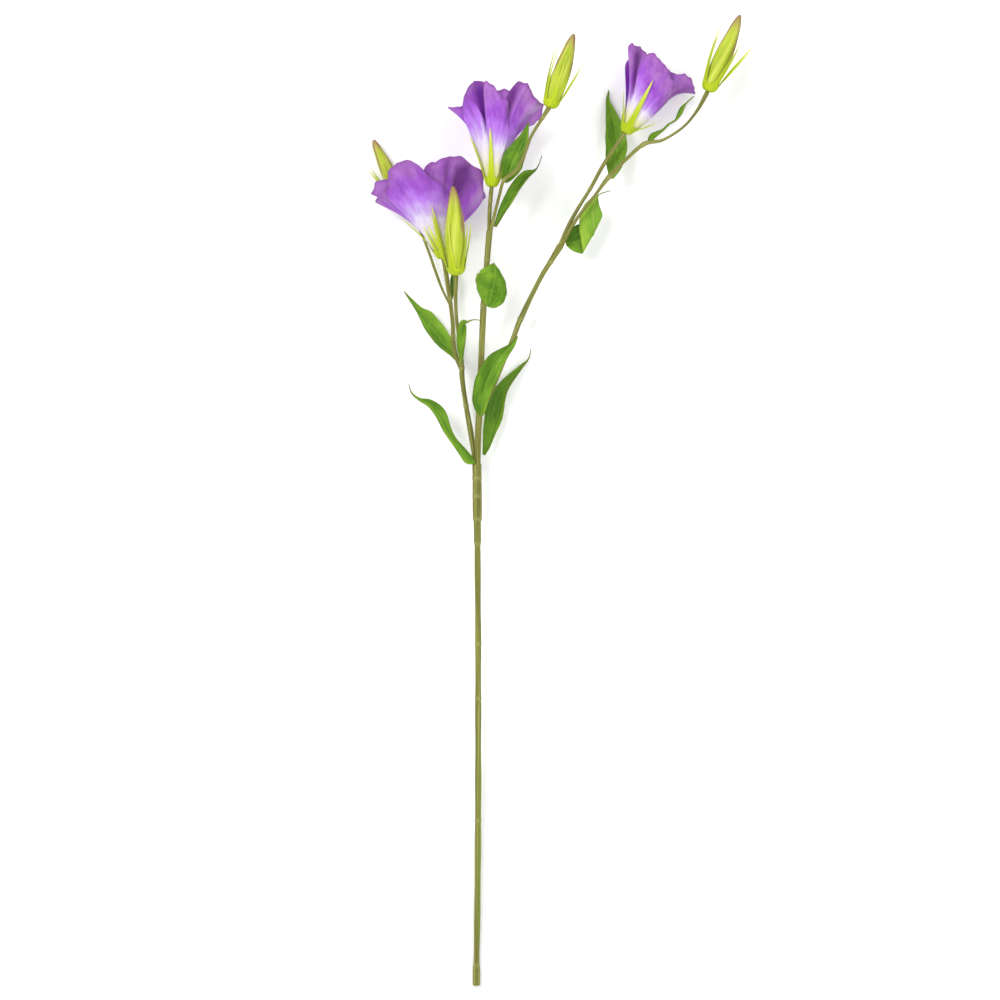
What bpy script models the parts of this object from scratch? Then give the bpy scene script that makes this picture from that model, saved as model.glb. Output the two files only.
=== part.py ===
"""A cut lisianthus stem lying on a flat surface: three open blooms, four buds and twelve leaves.

The spray is laid out in its own flat frame, in millimetres: x across, y along the stem from its cut
end, z up from the surface. CENTRE_X and CENTRE_Y then put the middle of the spray on the world origin.
"""

import math

import bmesh
import bpy
import numpy as np
from mathutils import Matrix, Vector

MM = 0.001
CENTRE_X = 64.8
CENTRE_Y = 398.95

STEM_SIDES = 8
JOINT_SWELL = 0.6
JOINT_REACH = 2.2

SEPAL_COUNT = 5
SEPAL_STEP = math.tau / SEPAL_COUNT
PETAL_THICKNESS = 0.45
PETAL_STATIONS = 9
PETAL_ACROSS = 11
PETAL_FOOT = 4.8
PETAL_FLOOR = 3.0
LAYER_AT_FOOT = 1.0
LAYER_GROWTH = 1.5

CALYX_FLOOR = 1.6
CALYX_WALL = 0.7
CALYX_GAP = 0.7
CALYX_SPREAD = 1.4
CROWN_COLUMNS = 20
CUP_ROWS = (0.0, 0.35, 1.0)
TOOTH_ROWS = (0.4, 1.0)
STAMEN_FOOT = 1.9
STAMEN_LEAN = 0.12
STIGMA_FOOT = 20.5
BUD_TWIST = 2.0
BUD_SIDES = 20
GAP = 0.4

LEAF_THICKNESS = 0.5
LEAF_STATIONS = 9
LEAF_ACROSS = (-1.0, -0.5, 0.0, 0.5, 1.0)
LEAF_FOLD = math.radians(16)

# One leaf is doubled back over itself: a place on the line it bends along, that line's heading from +x,
# the radius of the bend, and how many stations the leaf needs to turn smoothly.
DOUBLED_LEAF = "right_fork_folded"
BEND_PLACE = (85.4, 605.1, 18.4)
BEND_HEADING = math.radians(61.4)
BEND_RADIUS = 2.4
DOUBLED_STATIONS = 21

# Each material: colour, roughness.
MATERIALS = {
    "stem": ((0.32, 0.34, 0.10), 0.55),
    "leaf": ((0.13, 0.27, 0.05), 0.6),
    "petal": ((0.42, 0.18, 0.66), 0.75),
    "calyx": ((0.50, 0.66, 0.04), 0.5),
    "bud": ((0.62, 0.72, 0.12), 0.55),
    "heart": ((0.72, 0.66, 0.16), 0.5),
}

# Each stem: points (x, y, z, radius) along its middle, then the places along y of its ring joints.
STEMS = {
    "main_stem": (
        [(-1, 0, 2.9, 3.1), (-1, 16, 3.5, 3.1), (-0.5, 17, 3.5, 2.6), (0, 70, 5.2, 2.6),
         (0.6, 136, 7.6, 2.6), (0.7, 200, 9.8, 2.5), (0.5, 285, 12.6, 2.5), (0.1, 364, 15.0, 2.6),
         (0.1, 366, 15.0, 3.1), (-0.1, 384, 15.6, 3.2), (-0.1, 386, 15.6, 3.7), (-0.3, 415, 16.5, 3.8),
         (-0.4, 429, 17.0, 4.2)],
        (136, 237, 282, 404, 418),
    ),
    "left_branch": (
        [(-2.2, 430.2, 15.2, 1.8), (-4.5, 450, 14.6, 2.2), (-9.5, 479, 15.6, 2.1), (-12.4, 500, 17.0, 2.1),
         (-12.8, 511.5, 18.0, 2.3)],
        (478,),
    ),
    "middle_branch": (
        [(1.2, 430.2, 18.9, 1.9), (0.6, 454, 21.4, 2.6), (1.6, 471, 23.0, 2.9), (3.0, 508, 27.0, 2.6),
         (5.2, 560, 34.0, 2.5), (8.0, 597, 39.6, 2.3), (10.0, 620, 43.0, 2.5)],
        (471, 560),
    ),
    "right_branch": (
        [(8.6, 481, 19.6, 1.8), (13, 492, 19.2, 2.1), (28.5, 531, 19.6, 2.1), (35.5, 549, 20.0, 2.1),
         (51, 581, 21.4, 2.1), (60, 596, 22.4, 2.2), (68, 608.5, 23.6, 2.5)],
        (),
    ),
    "bloom_stem_left": (
        [(-14.2, 513.0, 17.0, 1.5), (-19, 524, 17.3, 1.8), (-20.2, 545, 17.4, 1.8), (-23, 568, 17.5, 1.8),
         (-26.3, 588, 17.5, 1.8), (-27.9, 596.8, 17.3, 1.8)],
        (535,),
    ),
    "bloom_stem_middle": (
        [(9.2, 622.4, 43.4, 1.3), (10.2, 639, 45.6, 1.6), (11.8, 654.3, 46.0, 1.6)],
        (),
    ),
    "bloom_stem_right": (
        [(68.2, 611.6, 24.6, 1.4), (75.5, 627, 24.4, 1.5), (84.6, 643, 24.2, 1.5), (93, 656.5, 24.1, 1.6),
         (103.6, 675.6, 24.0, 1.5), (115.6, 692.6, 23.8, 1.5), (120.2, 700.0, 23.8, 1.5)],
        (656,),
    ),
    "bud_stem_far_left": (
        [(-26.8, 566, 14.6, 1.0), (-29.3, 574.6, 13.4, 1.1), (-34.3, 588, 11.6, 1.1), (-41, 607, 8.6, 1.1),
         (-50, 628, 6.6, 1.2), (-63.4, 645.9, 6.9, 1.3)],
        (),
    ),
    "bud_stem_left": (
        [(-11.4, 513.2, 20.6, 1.3), (-14.9, 532, 24.5, 1.7), (-17, 548, 28.0, 1.6), (-17.6, 565, 31.4, 1.5),
         (-17.2, 583.2, 36.8, 1.6)],
        (),
    ),
    "bud_stem_middle": (
        [(12.6, 623.4, 47.0, 1.2), (14.5, 635, 50.4, 1.3), (17.8, 648, 53.2, 1.3), (21.6, 661, 55.4, 1.4),
         (28, 666, 56.4, 1.4), (33.0, 671, 57.0, 1.3), (38, 681, 57.8, 1.3), (44.2, 697, 58.2, 1.3),
         (53.2, 710.6, 58.2, 1.5), (58.2, 718.3, 58.2, 1.7)],
        (661,),
    ),
    "bud_stem_right": (
        [(72.0, 612.6, 27.6, 1.3), (79.7, 628.3, 28.4, 1.4), (97.8, 652, 29.2, 1.4),
         (107.7, 665, 29.6, 1.8), (122.6, 680.4, 29.8, 1.4), (137.5, 692.6, 30.0, 1.7),
         (152, 695.6, 30.0, 1.3), (168.8, 706.3, 29.6, 1.2), (180.4, 720, 29.2, 1.3),
         (188.1, 733.8, 29.0, 1.6)],
        (665, 692),
    ),
}

# Each bloom has its own frame: x to the right as seen from above, y up towards the viewer and z along the
# axis, with the angle round the axis counted from x. foot is the axis's start, heading turns the axis from
# +y towards +x, tilt lifts it and flat squeezes the mouth from above. Each row of rim is an angle, the
# radius and height of the rim there, and how far the profile leans out at its foot and at its rim.
BLOOMS = {
    "left": dict(
        foot=(-28.3, 598.9, 17.6), heading=-9.5, tilt=8.5, flat=0.68,
        rim=[
            (0, 43, 43, 18, 66), (14, 46, 54, 18, 62), (30, 46, 71, 15, 46), (50, 44, 81, 14, 34),
            (75, 40, 83, 13, 28), (100, 40, 84, 13, 28), (118, 42, 86, 13, 30), (135, 43, 80.5, 13, 38),
            (148, 44.5, 74, 13, 48),
            (163, 48, 67.5, 14, 56), (180, 49.5, 60.5, 14, 62), (197, 47.5, 54, 15, 66),
            (213, 41.5, 50, 15, 62), (240, 38, 62, 13, 42), (270, 37, 76, 13, 30), (300, 38, 76, 13, 30),
            (330, 41, 54, 14, 50),
        ],
    ),
    "middle": dict(
        foot=(12.0, 656.3, 46.0), heading=3.0, tilt=-3.0, flat=0.72,
        rim=[
            (0, 39.5, 65, 14, 76), (16, 39, 71, 13, 62), (30, 37.5, 78, 12, 46), (42, 36, 83, 12, 36),
            (57, 33.5, 85, 11, 28), (75, 31.5, 85.5, 11, 24), (95, 31, 86, 11, 20), (112, 31, 86.5, 11, 20),
            (135, 35, 80, 12, 34), (155, 37, 74, 12, 46), (180, 40, 61, 12, 62), (205, 38, 66, 12, 58),
            (230, 36, 82, 12, 36), (252, 33, 86, 12, 25), (280, 31, 84, 12, 22), (300, 31.5, 78, 12, 34),
            (315, 32, 66, 13, 56), (330, 33.5, 57, 13, 72), (345, 37, 56, 14, 82),
        ],
    ),
    "right": dict(
        foot=(121.3, 701.8, 23.8), heading=29.0, tilt=1.5, flat=0.78,
        rim=[
            (0, 33, 56, 32, 84), (16, 33, 60, 30, 72), (32, 31, 64, 26, 52), (50, 29, 66, 22, 36),
            (72, 28, 65.5, 18, 30), (95, 28, 66, 16, 28), (118, 28, 67.5, 14, 26), (135, 29, 66.5, 14, 28),
            (150, 32, 66.5, 15, 30), (165, 34, 65, 15, 34), (185, 33, 60, 15, 36), (215, 28, 62, 15, 30),
            (250, 27, 64, 16, 28), (290, 27, 64, 20, 28), (320, 28, 60, 26, 40), (342, 31, 55, 32, 68),
        ],
    ),
}

# Each petal: the outline of its top edge as (angle, share of the way to the rim) from its right-hand margin
# to its left-hand one, then which layer those two margins lie in, from -1 inside to 1 outside.
PETALS = {
    "left": [
        ([(48, 0.50), (66, 0.68), (88, 0.82), (106, 0.99), (122, 1.0), (140, 0.99), (156, 0.92),
          (178, 0.76)], 1, 1),
        ([(146, 0.94), (160, 1.0), (180, 1.0), (200, 0.99), (218, 0.96), (250, 0.86)], -1, -1),
        ([(228, 0.84), (262, 0.98), (282, 1.0), (304, 0.98), (336, 0.82)], 1, -1),
        ([(300, 0.84), (330, 0.97), (350, 1.0), (372, 0.95), (398, 0.78)], 1, -1),
        ([(0, 0.90), (18, 1.0), (42, 0.985), (52, 1.0), (72, 0.98), (92, 0.90), (114, 0.72)], 1, -1),
    ],
    "middle": [
        ([(46, 0.42), (56, 0.60), (67, 0.74), (82, 0.83), (97, 0.90), (105, 0.97), (112, 1.0),
          (118, 0.98)], 1, 1),
        ([(112, 0.48), (119, 0.66), (126, 0.80), (136, 0.90), (148, 0.93), (158, 0.86), (182, 0.62)], 0, 1),
        ([(160, 0.88), (182, 1.0), (206, 0.93), (230, 1.0), (248, 1.0), (270, 0.88)], -1, -1),
        ([(252, 0.86), (272, 0.97), (288, 1.0), (306, 0.96), (334, 0.80)], 1, -1),
        ([(312, 0.84), (340, 0.98), (358, 1.0), (384, 0.96), (402, 1.0), (418, 0.99),
          (431, 0.86)], 1, -1),
    ],
    "right": [
        ([(6, 0.62), (30, 0.70), (50, 0.79), (64, 0.86), (84, 0.95), (104, 1.0), (128, 1.0),
          (146, 0.96)], 1, 1),
        ([(138, 0.92), (150, 1.0), (164, 1.0), (178, 0.95), (206, 0.84)], -1, -1),
        ([(184, 0.86), (206, 0.98), (226, 1.0), (248, 0.98), (276, 0.86)], 1, -1),
        ([(252, 0.84), (280, 0.98), (300, 1.0), (320, 0.97), (346, 0.84)], 1, -1),
        ([(318, 0.84), (340, 0.99), (358, 1.0), (376, 1.0), (394, 1.0), (412, 0.96), (428, 0.88)], 1, -1),
    ],
}

# Each bud: foot (x, y, z), tip (x, y, z), greatest radius of the spindle, spread of the sepals' tips.
BUDS = {
    "far_left": ((-64.6, 647.8, 6.9), (-85.8, 697.0, 6.4), 5.6, 3.0),
    "left": ((-17.3, 585.0, 37.4), (-19.6, 655.6, 60.0), 8.2, 9.0),
    "middle": ((58.9, 720.2, 58.2), (78.5, 779.9, 58.6), 7.6, 10.0),
    "right": ((189.0, 735.8, 29.0), (215.4, 797.7, 31.0), 7.3, 10.0),
}

# Each leaf: stations (x, y, z, width to its left, width to its right, roll in degrees) from its foot to
# its tip. Roll 0 faces up.
LEAVES = {
    "main_node_left": [
        (-1.6, 431, 21.5, 1.2, 1.2, 8), (-6.4, 434, 22.5, 4.6, 3.6, 10), (-11.6, 439.8, 23.0, 3.8, 3.6, 14),
        (-19.4, 449, 22.6, 2.8, 3.8, 18), (-26, 459, 21.0, 2.9, 5.4, 18),
        (-32.2, 470.4, 18.8, 2.5, 7.8, 16), (-40, 478.8, 16.4, 1.8, 5.4, 14),
        (-47.5, 483, 14.4, 1.3, 1.7, 10), (-54, 488.3, 13.0, 0.7, 0.8, 8),
        (-56.8, 496.2, 12.4, 0.3, 0.3, 8),
    ],
    "main_node_right": [
        (5.4, 437.5, 11.5, 1.4, 1.0, 0), (7.9, 444.2, 10.6, 4.0, 2.4, -4), (12.2, 457.7, 9.4, 8.4, 3.9, -6),
        (16, 467.6, 8.6, 12.0, 4.5, -8), (18.3, 476, 7.8, 12.6, 3.8, -8), (20.4, 484.5, 7.2, 11.6, 2.8, -8),
        (23.6, 492.8, 6.2, 7.8, 2.5, -8), (29.3, 501.9, 5.0, 4.4, 2.4, -8),
        (35.9, 509.7, 3.8, 2.2, 1.4, -8), (42.1, 516.7, 3.0, 0.7, 0.6, -8),
        (44.2, 525.0, 2.4, 0.3, 0.3, -8),
    ],
    "middle_node_front": [
        (2.9, 469.6, 28.2, 1.6, 1.6, 0), (3.4, 473.6, 28.8, 5.6, 3.4, -2), (4.4, 482, 30.4, 9.0, 5.0, -4),
        (6.8, 493, 32.8, 10.6, 6.4, -6), (10.4, 504, 34.6, 10.2, 7.6, -8), (15.6, 514, 35.6, 8.6, 6.8, -10),
        (22, 521.4, 35.6, 4.8, 4.8, -12), (28, 527.4, 34.8, 2.0, 3.0, -12),
        (33.0, 534.4, 33.4, 0.6, 0.6, -12),
    ],
    "left_node_outer": [
        (-17.8, 516.6, 13.6, 1.4, 1.4, 6), (-20.8, 521.4, 13.0, 2.6, 4.6, 6),
        (-28, 529.6, 11.8, 4.9, 8.6, 6), (-36.2, 540.6, 9.8, 5.7, 9.0, 5), (-43.4, 551, 7.8, 4.5, 7.2, 4),
        (-48.5, 557.7, 6.6, 2.7, 3.0, 4), (-55.7, 566.4, 4.8, 1.3, 1.2, 3),
        (-60.7, 572.6, 3.6, 0.4, 0.4, 3),
    ],
    "left_node_front": [
        (-12.9, 513.4, 25.8, 0.8, 0.8, 4), (-13.5, 523.6, 29.4, 3.1, 3.1, 6),
        (-13.4, 533.6, 32.4, 3.8, 4.4, 6), (-12.6, 542, 35.0, 3.3, 4.1, 4),
        (-11.3, 545.8, 36.4, 2.4, 3.0, 0), (-7.8, 546.4, 37.0, 0.9, 0.9, 0), (-3.2, 548, 37.4, 0.5, 0.5, 0),
        (2.4, 547.6, 37.4, 0.3, 0.3, 0),
    ],
    "middle_stem_front": [
        (7.6, 559.6, 39.4, 2.2, 2.0, 0), (10.2, 563.6, 40.8, 9.2, 10.2, 0),
        (11.8, 571, 43.6, 13.8, 12.2, 0), (13.1, 576, 45.4, 15.8, 11.6, 0),
        (14.3, 581.4, 47.4, 16.0, 8.2, 0), (14.6, 586.6, 49.0, 13.6, 3.0, 0),
        (13.2, 592.6, 50.4, 4.6, 1.0, 0),
    ],
    "middle_fork_right": [
        (14.6, 624, 40.4, 1.2, 1.2, 10), (20, 635.5, 38.4, 3.4, 3.0, 14), (27, 648, 36.4, 4.8, 4.0, 16),
        (34, 659, 34.0, 5.4, 3.8, 16), (41, 666.4, 31.8, 4.4, 2.4, 14), (47.4, 671.0, 30.0, 1.0, 0.9, 12),
        (50.4, 675.6, 29.0, 0.4, 0.4, 12), (53, 683, 28.0, 0.3, 0.3, 12),
    ],
    "middle_bud_stem": [
        (21.9, 659.9, 51.2, 2.2, 2.0, 0), (23.9, 663.8, 51.3, 4.6, 5.2, 0),
        (26.9, 670.8, 51.5, 8.0, 8.6, 2), (29.9, 678.6, 51.8, 9.2, 9.2, 3),
        (34.1, 686.6, 52.2, 7.9, 7.2, 4), (38.2, 696, 52.7, 4.4, 4.0, 5), (41.9, 708.4, 53.4, 0.5, 0.5, 6),
    ],
    "right_bud_node_back": [
        (110, 664.6, 21.4, 2.0, 2.0, 0), (112.6, 676, 17.6, 7.2, 7.2, 4), (114.6, 690.5, 13.8, 9.2, 9.2, 6),
        (113.4, 704, 10.2, 8.2, 8.2, 4), (110.4, 718, 7.0, 4.8, 4.8, 0), (107.6, 729.5, 4.6, 1.8, 1.8, 0),
        (108.4, 738.6, 3.2, 0.4, 0.4, 0),
    ],
    "right_fork_folded": [
        (72.8, 611.1, 18.6, 1.4, 1.4, 0), (77.6, 612.0, 18.6, 8.4, 7.6, 0),
        (84.5, 613.8, 18.4, 13.0, 11.6, 0), (92, 616.0, 18.4, 12.4, 12.4, 0),
        (101, 619.8, 18.4, 10.4, 12.2, 0), (109.7, 624.4, 18.4, 8.4, 11.2, 0),
        (116.6, 629, 18.4, 6.0, 8.0, 0), (121.0, 633.8, 18.4, 3.0, 3.8, 0),
        (122.8, 637.6, 18.4, 0.8, 0.8, 0), (122.6, 641.6, 18.4, 0.5, 0.5, 0),
        (120.4, 648.6, 18.4, 0.35, 0.35, 0),
    ],
    "right_bud_stem_small": [
        (140.6, 693.6, 27.6, 0.9, 0.9, 0), (145, 699.2, 27.0, 2.4, 2.4, 20),
        (150.8, 704.2, 26.6, 2.0, 2.0, 30), (156.5, 708.6, 26.6, 0.9, 0.9, 40),
        (163.1, 714.8, 26.8, 1.9, 1.9, 30), (167.2, 722.4, 27.0, 2.3, 2.3, 20),
        (171.3, 727.9, 27.0, 1.3, 1.3, 20), (177, 732, 27.0, 0.4, 0.4, 20),
    ],
    "left_bloom_stem_back": [
        (-20.6, 566.0, 13.8, 0.9, 0.9, 40), (-20.2, 573, 12.6, 2.6, 2.6, 50),
        (-19.8, 581, 12.0, 3.0, 3.0, 55), (-20, 588, 12.0, 1.8, 1.8, 50), (-21.4, 593, 12.4, 0.4, 0.4, 40),
    ],
}


def clear_scene():
    for old in list(bpy.data.objects):
        bpy.data.objects.remove(old, do_unlink=True)


def make_material(name):
    colour, roughness = MATERIALS[name]
    material = bpy.data.materials.new(name)
    material.use_nodes = True
    shader = material.node_tree.nodes["Principled BSDF"]
    shader.inputs["Base Color"].default_value = (*colour, 1.0)
    shader.inputs["Roughness"].default_value = roughness
    shader.inputs["Metallic"].default_value = 0.0
    return material


def spline(knots, count):
    """count rows evenly along a smooth curve through knots, each a tuple that starts with x, y, z."""
    width = len(knots[0])
    dense = []
    for i in range(len(knots) - 1):
        before = knots[max(i - 1, 0)]
        start = knots[i]
        end = knots[i + 1]
        after = knots[min(i + 2, len(knots) - 1)]
        for step in range(12):
            t = step / 12
            row = []
            for k in range(width):
                low = (end[k] - before[k]) / 2 if i else end[k] - start[k]
                high = (after[k] - start[k]) / 2 if i < len(knots) - 2 else end[k] - start[k]
                cubic = (
                    (2 * t**3 - 3 * t**2 + 1) * start[k]
                    + (t**3 - 2 * t**2 + t) * low
                    + (3 * t**2 - 2 * t**3) * end[k]
                    + (t**3 - t**2) * high
                )
                row.append(cubic)
            dense.append(row)
    dense.append(list(knots[-1]))
    reach = [0.0]
    for a, b in zip(dense, dense[1:]):
        reach.append(reach[-1] + math.dist(a[:3], b[:3]))
    rows = []
    at = 0
    for i in range(count):
        goal = reach[-1] * i / (count - 1)
        while at < len(reach) - 2 and reach[at + 1] < goal:
            at += 1
        share = (goal - reach[at]) / max(reach[at + 1] - reach[at], 1e-9)
        rows.append([a + (b - a) * share for a, b in zip(dense[at], dense[at + 1])])
    return rows


def directions(places):
    """The unit direction of travel at each place."""
    last = len(places) - 1
    return [(places[min(i + 1, last)] - places[max(i - 1, 0)]).normalized() for i in range(last + 1)]


def loft(name, material, rings):
    """One closed solid through rings of points, each ring closed by a strip of quads at the two ends."""
    mesh = bpy.data.meshes.new(name)
    shape = bmesh.new()
    grid = []
    for ring in rings:
        row = []
        for x, y, z in ring:
            row.append(shape.verts.new(((x - CENTRE_X) * MM, (y - CENTRE_Y) * MM, z * MM)))
        grid.append(row)
    count = len(grid[0])
    for low, high in zip(grid, grid[1:]):
        for i in range(count):
            j = (i + 1) % count
            shape.faces.new((low[i], low[j], high[j], high[i]))
    for row in (grid[0], grid[-1]):
        for i in range(count // 2 - 1):
            shape.faces.new((row[i], row[i + 1], row[count - 2 - i], row[count - 1 - i]))
    bmesh.ops.recalc_face_normals(shape, faces=shape.faces)
    shape.to_mesh(mesh)
    shape.free()
    mesh.shade_smooth()
    mesh.set_sharp_from_angle(angle=math.radians(50))
    mesh.materials.append(material)
    piece = bpy.data.objects.new(name, mesh)
    bpy.context.scene.collection.objects.link(piece)
    return piece


def stem(name, material):
    """A round stem through its points, swollen a little at each ring joint."""
    knots, joints = STEMS[name]
    length = sum(math.dist(a[:3], b[:3]) for a, b in zip(knots, knots[1:]))
    rows = spline(knots, max(6, round(length / 14)))
    extra = []
    for joint in joints:
        for shift in (-JOINT_REACH, 0.0, JOINT_REACH):
            near = min(spline(knots, 400), key=lambda row: abs(row[1] - joint - shift))
            extra.append(near[:3] + [near[3] + (JOINT_SWELL if shift == 0.0 else 0.0)])
    kept = [row for row in rows if all(math.dist(row[:3], e[:3]) > JOINT_REACH for e in extra)]
    rows = sorted(kept + extra, key=lambda row: row[1])
    places = [Vector(row[:3]) for row in rows]
    rings = []
    for place, way, row in zip(places, directions(places), rows):
        side = way.cross(Vector((0, 0, 1))).normalized()
        up = side.cross(way)
        ring = []
        for k in range(STEM_SIDES):
            turn = math.tau * (k + 0.5) / STEM_SIDES
            ring.append(place + row[3] * (math.cos(turn) * side + math.sin(turn) * up))
        rings.append(ring)
    return loft(name, material, rings)


def frame_along(foot, way):
    """Axes of a flower head: x to its right as seen from above, y to its upper side, z along its axis."""
    right = way.cross(Vector((0, 0, 1))).normalized()
    upper = right.cross(way)
    matrix = Matrix((right, upper, way)).transposed().to_4x4()
    matrix.translation = foot
    return matrix


def bloom_frame(bloom):
    heading = math.radians(BLOOMS[bloom]["heading"])
    tilt = math.radians(BLOOMS[bloom]["tilt"])
    flat = math.cos(tilt)
    way = Vector((math.sin(heading) * flat, math.cos(heading) * flat, math.sin(tilt)))
    return frame_along(Vector(BLOOMS[bloom]["foot"]), way)


def read_table(rows, at):
    """The columns of rows after the first, read smoothly where the first column is at."""
    rows = np.array(rows, float)
    known, values = rows[:, 0], rows[:, 1:]
    slope = np.gradient(values, known, axis=0)
    i = int(np.clip(np.searchsorted(known, at, side="right") - 1, 0, len(known) - 2))
    gap = known[i + 1] - known[i]
    t = min(max((at - known[i]) / gap, 0.0), 1.0)
    return (
        (2 * t**3 - 3 * t**2 + 1) * values[i] + (t**3 - 2 * t**2 + t) * gap * slope[i]
        + (3 * t**2 - 2 * t**3) * values[i + 1] + (t**3 - t**2) * gap * slope[i + 1]
    )


def round_rows(rows):
    """Rows of a table round the circle, repeated a turn before and after."""
    return [(row[0] + turn, *row[1:]) for turn in (-360, 0, 360) for row in rows]


def funnel(bloom, angle, s):
    """A point of the bloom's funnel at an angle in degrees, s from 0 at the foot to 1 at the rim."""
    radius, height, lean, rim_lean = read_table(round_rows(BLOOMS[bloom]["rim"]), angle % 360)
    lean, rim_lean = math.radians(lean), math.radians(rim_lean)
    low, high = 0.45 * height, 0.38 * height
    outs = (PETAL_FOOT, PETAL_FOOT + low * math.sin(lean), radius - high * math.sin(rim_lean), radius)
    lifts = (PETAL_FLOOR, PETAL_FLOOR + low * math.cos(lean), height - high * math.cos(rim_lean), height)
    weights = ((1 - s) ** 3, 3 * s * (1 - s) ** 2, 3 * s * s * (1 - s), s**3)
    out = sum(w * o for w, o in zip(weights, outs))
    lift = sum(w * o for w, o in zip(weights, lifts))
    turn = math.radians(angle)
    squeeze = 1 + (BLOOMS[bloom]["flat"] - 1) * s
    return Vector((out * math.cos(turn), out * math.sin(turn) * squeeze, lift))


def outward(bloom, angle, s):
    """The unit direction out of the funnel at a point."""
    here = funnel(bloom, angle, s)
    by_turn = funnel(bloom, angle + 0.2, s) - here
    by_rise = funnel(bloom, angle, s + 0.002) - here
    return by_turn.cross(by_rise).normalized()


def petal(bloom, number, material):
    """One petal: a curved blade of the funnel, over or under its neighbour along each margin."""
    frame = bloom_frame(bloom)
    outline, layer_right, layer_left = PETALS[bloom][number]
    first, last = outline[0][0], outline[-1][0]
    rings = []
    for i in range(PETAL_STATIONS):
        outer = []
        inner = []
        for k in range(PETAL_ACROSS):
            v = 2 * k / (PETAL_ACROSS - 1) - 1
            angle = first + (last - first) * (v + 1) / 2
            top = read_table(outline, angle)[0] * (1 - 0.24 * max((abs(v) - 0.72) / 0.28, 0) ** 3)
            s = top * i / (PETAL_STATIONS - 1)
            side = ((1 - v) * layer_right + (1 + v) * layer_left) / 2
            layer = side * (LAYER_AT_FOOT + LAYER_GROWTH * s)
            place, way = funnel(bloom, angle, s), outward(bloom, angle, s)
            outer.append(frame @ (place + way * (layer + PETAL_THICKNESS / 2)))
            inner.append(frame @ (place + way * (layer - PETAL_THICKNESS / 2)))
        rings.append(outer + inner[::-1])
    return loft(f"petal_{bloom}_{number + 1}", material, rings)


def crown(name, material, frame, wall, floor, cup, tooth_at, radius_at):
    """A cup with a toothed rim, about the frame's z axis. tooth_at(turn) is how far its rim rises there."""
    rings = []
    for inside in (False, True):
        rows = [(cup * share, 0.0) for share in CUP_ROWS] + [(cup, share) for share in TOOTH_ROWS]
        for low, share in rows[::-1] if inside else rows:
            ring = []
            for k in range(CROWN_COLUMNS):
                turn = math.tau * k / CROWN_COLUMNS
                height = low + share * tooth_at(turn)
                radius = radius_at(turn, height)
                if inside:
                    radius -= wall
                    height = max(height, floor)
                ring.append(frame @ Vector((radius * math.cos(turn), radius * math.sin(turn), height)))
            rings.append(ring)
    return loft(name, material, rings)


def teeth(reach, narrow):
    """How far five pointed teeth rise around a rim: reach at their tips, next to nothing between them."""

    def tooth_at(turn):
        half = SEPAL_STEP / 2
        off = abs((turn + half) % SEPAL_STEP - half)
        return reach * max((1 - off / half) ** narrow, 0.03)

    return tooth_at


def bloom_calyx(bloom, material):
    """The cup and sepals round a bloom's petals, clear of the outermost layer."""
    frame = bloom_frame(bloom)
    profiles = {}

    def radius_at(turn, height):
        if turn not in profiles:
            steps = [funnel(bloom, math.degrees(turn), 0.6 * i / 40) for i in range(41)]
            profiles[turn] = [p.z for p in steps], [math.hypot(p.x, p.y) for p in steps]
        hug = float(np.interp(height, *profiles[turn]))
        layer = (LAYER_AT_FOOT + LAYER_GROWTH * height / 80 + PETAL_THICKNESS / 2) * CALYX_SPREAD
        return min(hug + layer + CALYX_GAP + CALYX_WALL, 3.4 + 1.9 * height)

    crown(f"calyx_{bloom}", material, frame, CALYX_WALL, CALYX_FLOOR, 8.0, teeth(20.0, 2.2), radius_at)


def stamens(bloom, material):
    """Five stamens that rise from one small cup around the pistil."""
    frame = bloom_frame(bloom) @ Matrix.Translation((0, 0, CALYX_FLOOR + GAP))

    def radius_at(turn, height):
        return STAMEN_FOOT + STAMEN_LEAN * height

    crown(f"stamens_{bloom}", material, frame, 0.5, 0.5, 3.0, teeth(19.0, 4.0), radius_at)


def turned(name, material, frame, profile, sides, shape=None):
    """A solid about the frame's z axis through (height, radius) rows. shape(turn, height) scales the radius."""
    rings = []
    for height, radius in profile:
        ring = []
        for k in range(sides):
            turn = math.tau * k / sides
            reach = radius * (shape(turn, height) if shape else 1.0)
            ring.append(frame @ Vector((reach * math.cos(turn), reach * math.sin(turn), height)))
        rings.append(ring)
    return loft(name, material, rings)


def pistil(bloom, material):
    """A slim ovary and style with a stigma of two lobes, standing inside the stamens."""
    frame = bloom_frame(bloom) @ Matrix.Translation((0, 0, CALYX_FLOOR + 0.5 + 2 * GAP))
    profile = [(0, 0.9), (3, 1.2), (6, 1.5), (10, 1.1), (13, 0.7)]
    profile += [(20, 0.7), (21.5, 1.6), (23.5, 2.0), (25, 1.1)]

    def two_lobes(turn, height):
        return 0.6 + 0.4 * abs(math.cos(turn)) if height > STIGMA_FOOT else 1.0

    turned(f"pistil_{bloom}", material, frame, profile, 8, two_lobes)


def bud_frame(bud):
    foot, tip = (Vector(place) for place in BUDS[bud][:2])
    return frame_along(foot, (tip - foot).normalized()), (tip - foot).length


def bud_radius(share, greatest):
    """The furled petals' radius: greatest a third of the way up, pointed at the tip."""
    body = 0.72 + 0.28 * math.sin(math.pi * min(1.0, share * 1.5) / 2)
    return greatest * body * (1 - share**2.0) ** 0.9


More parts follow.
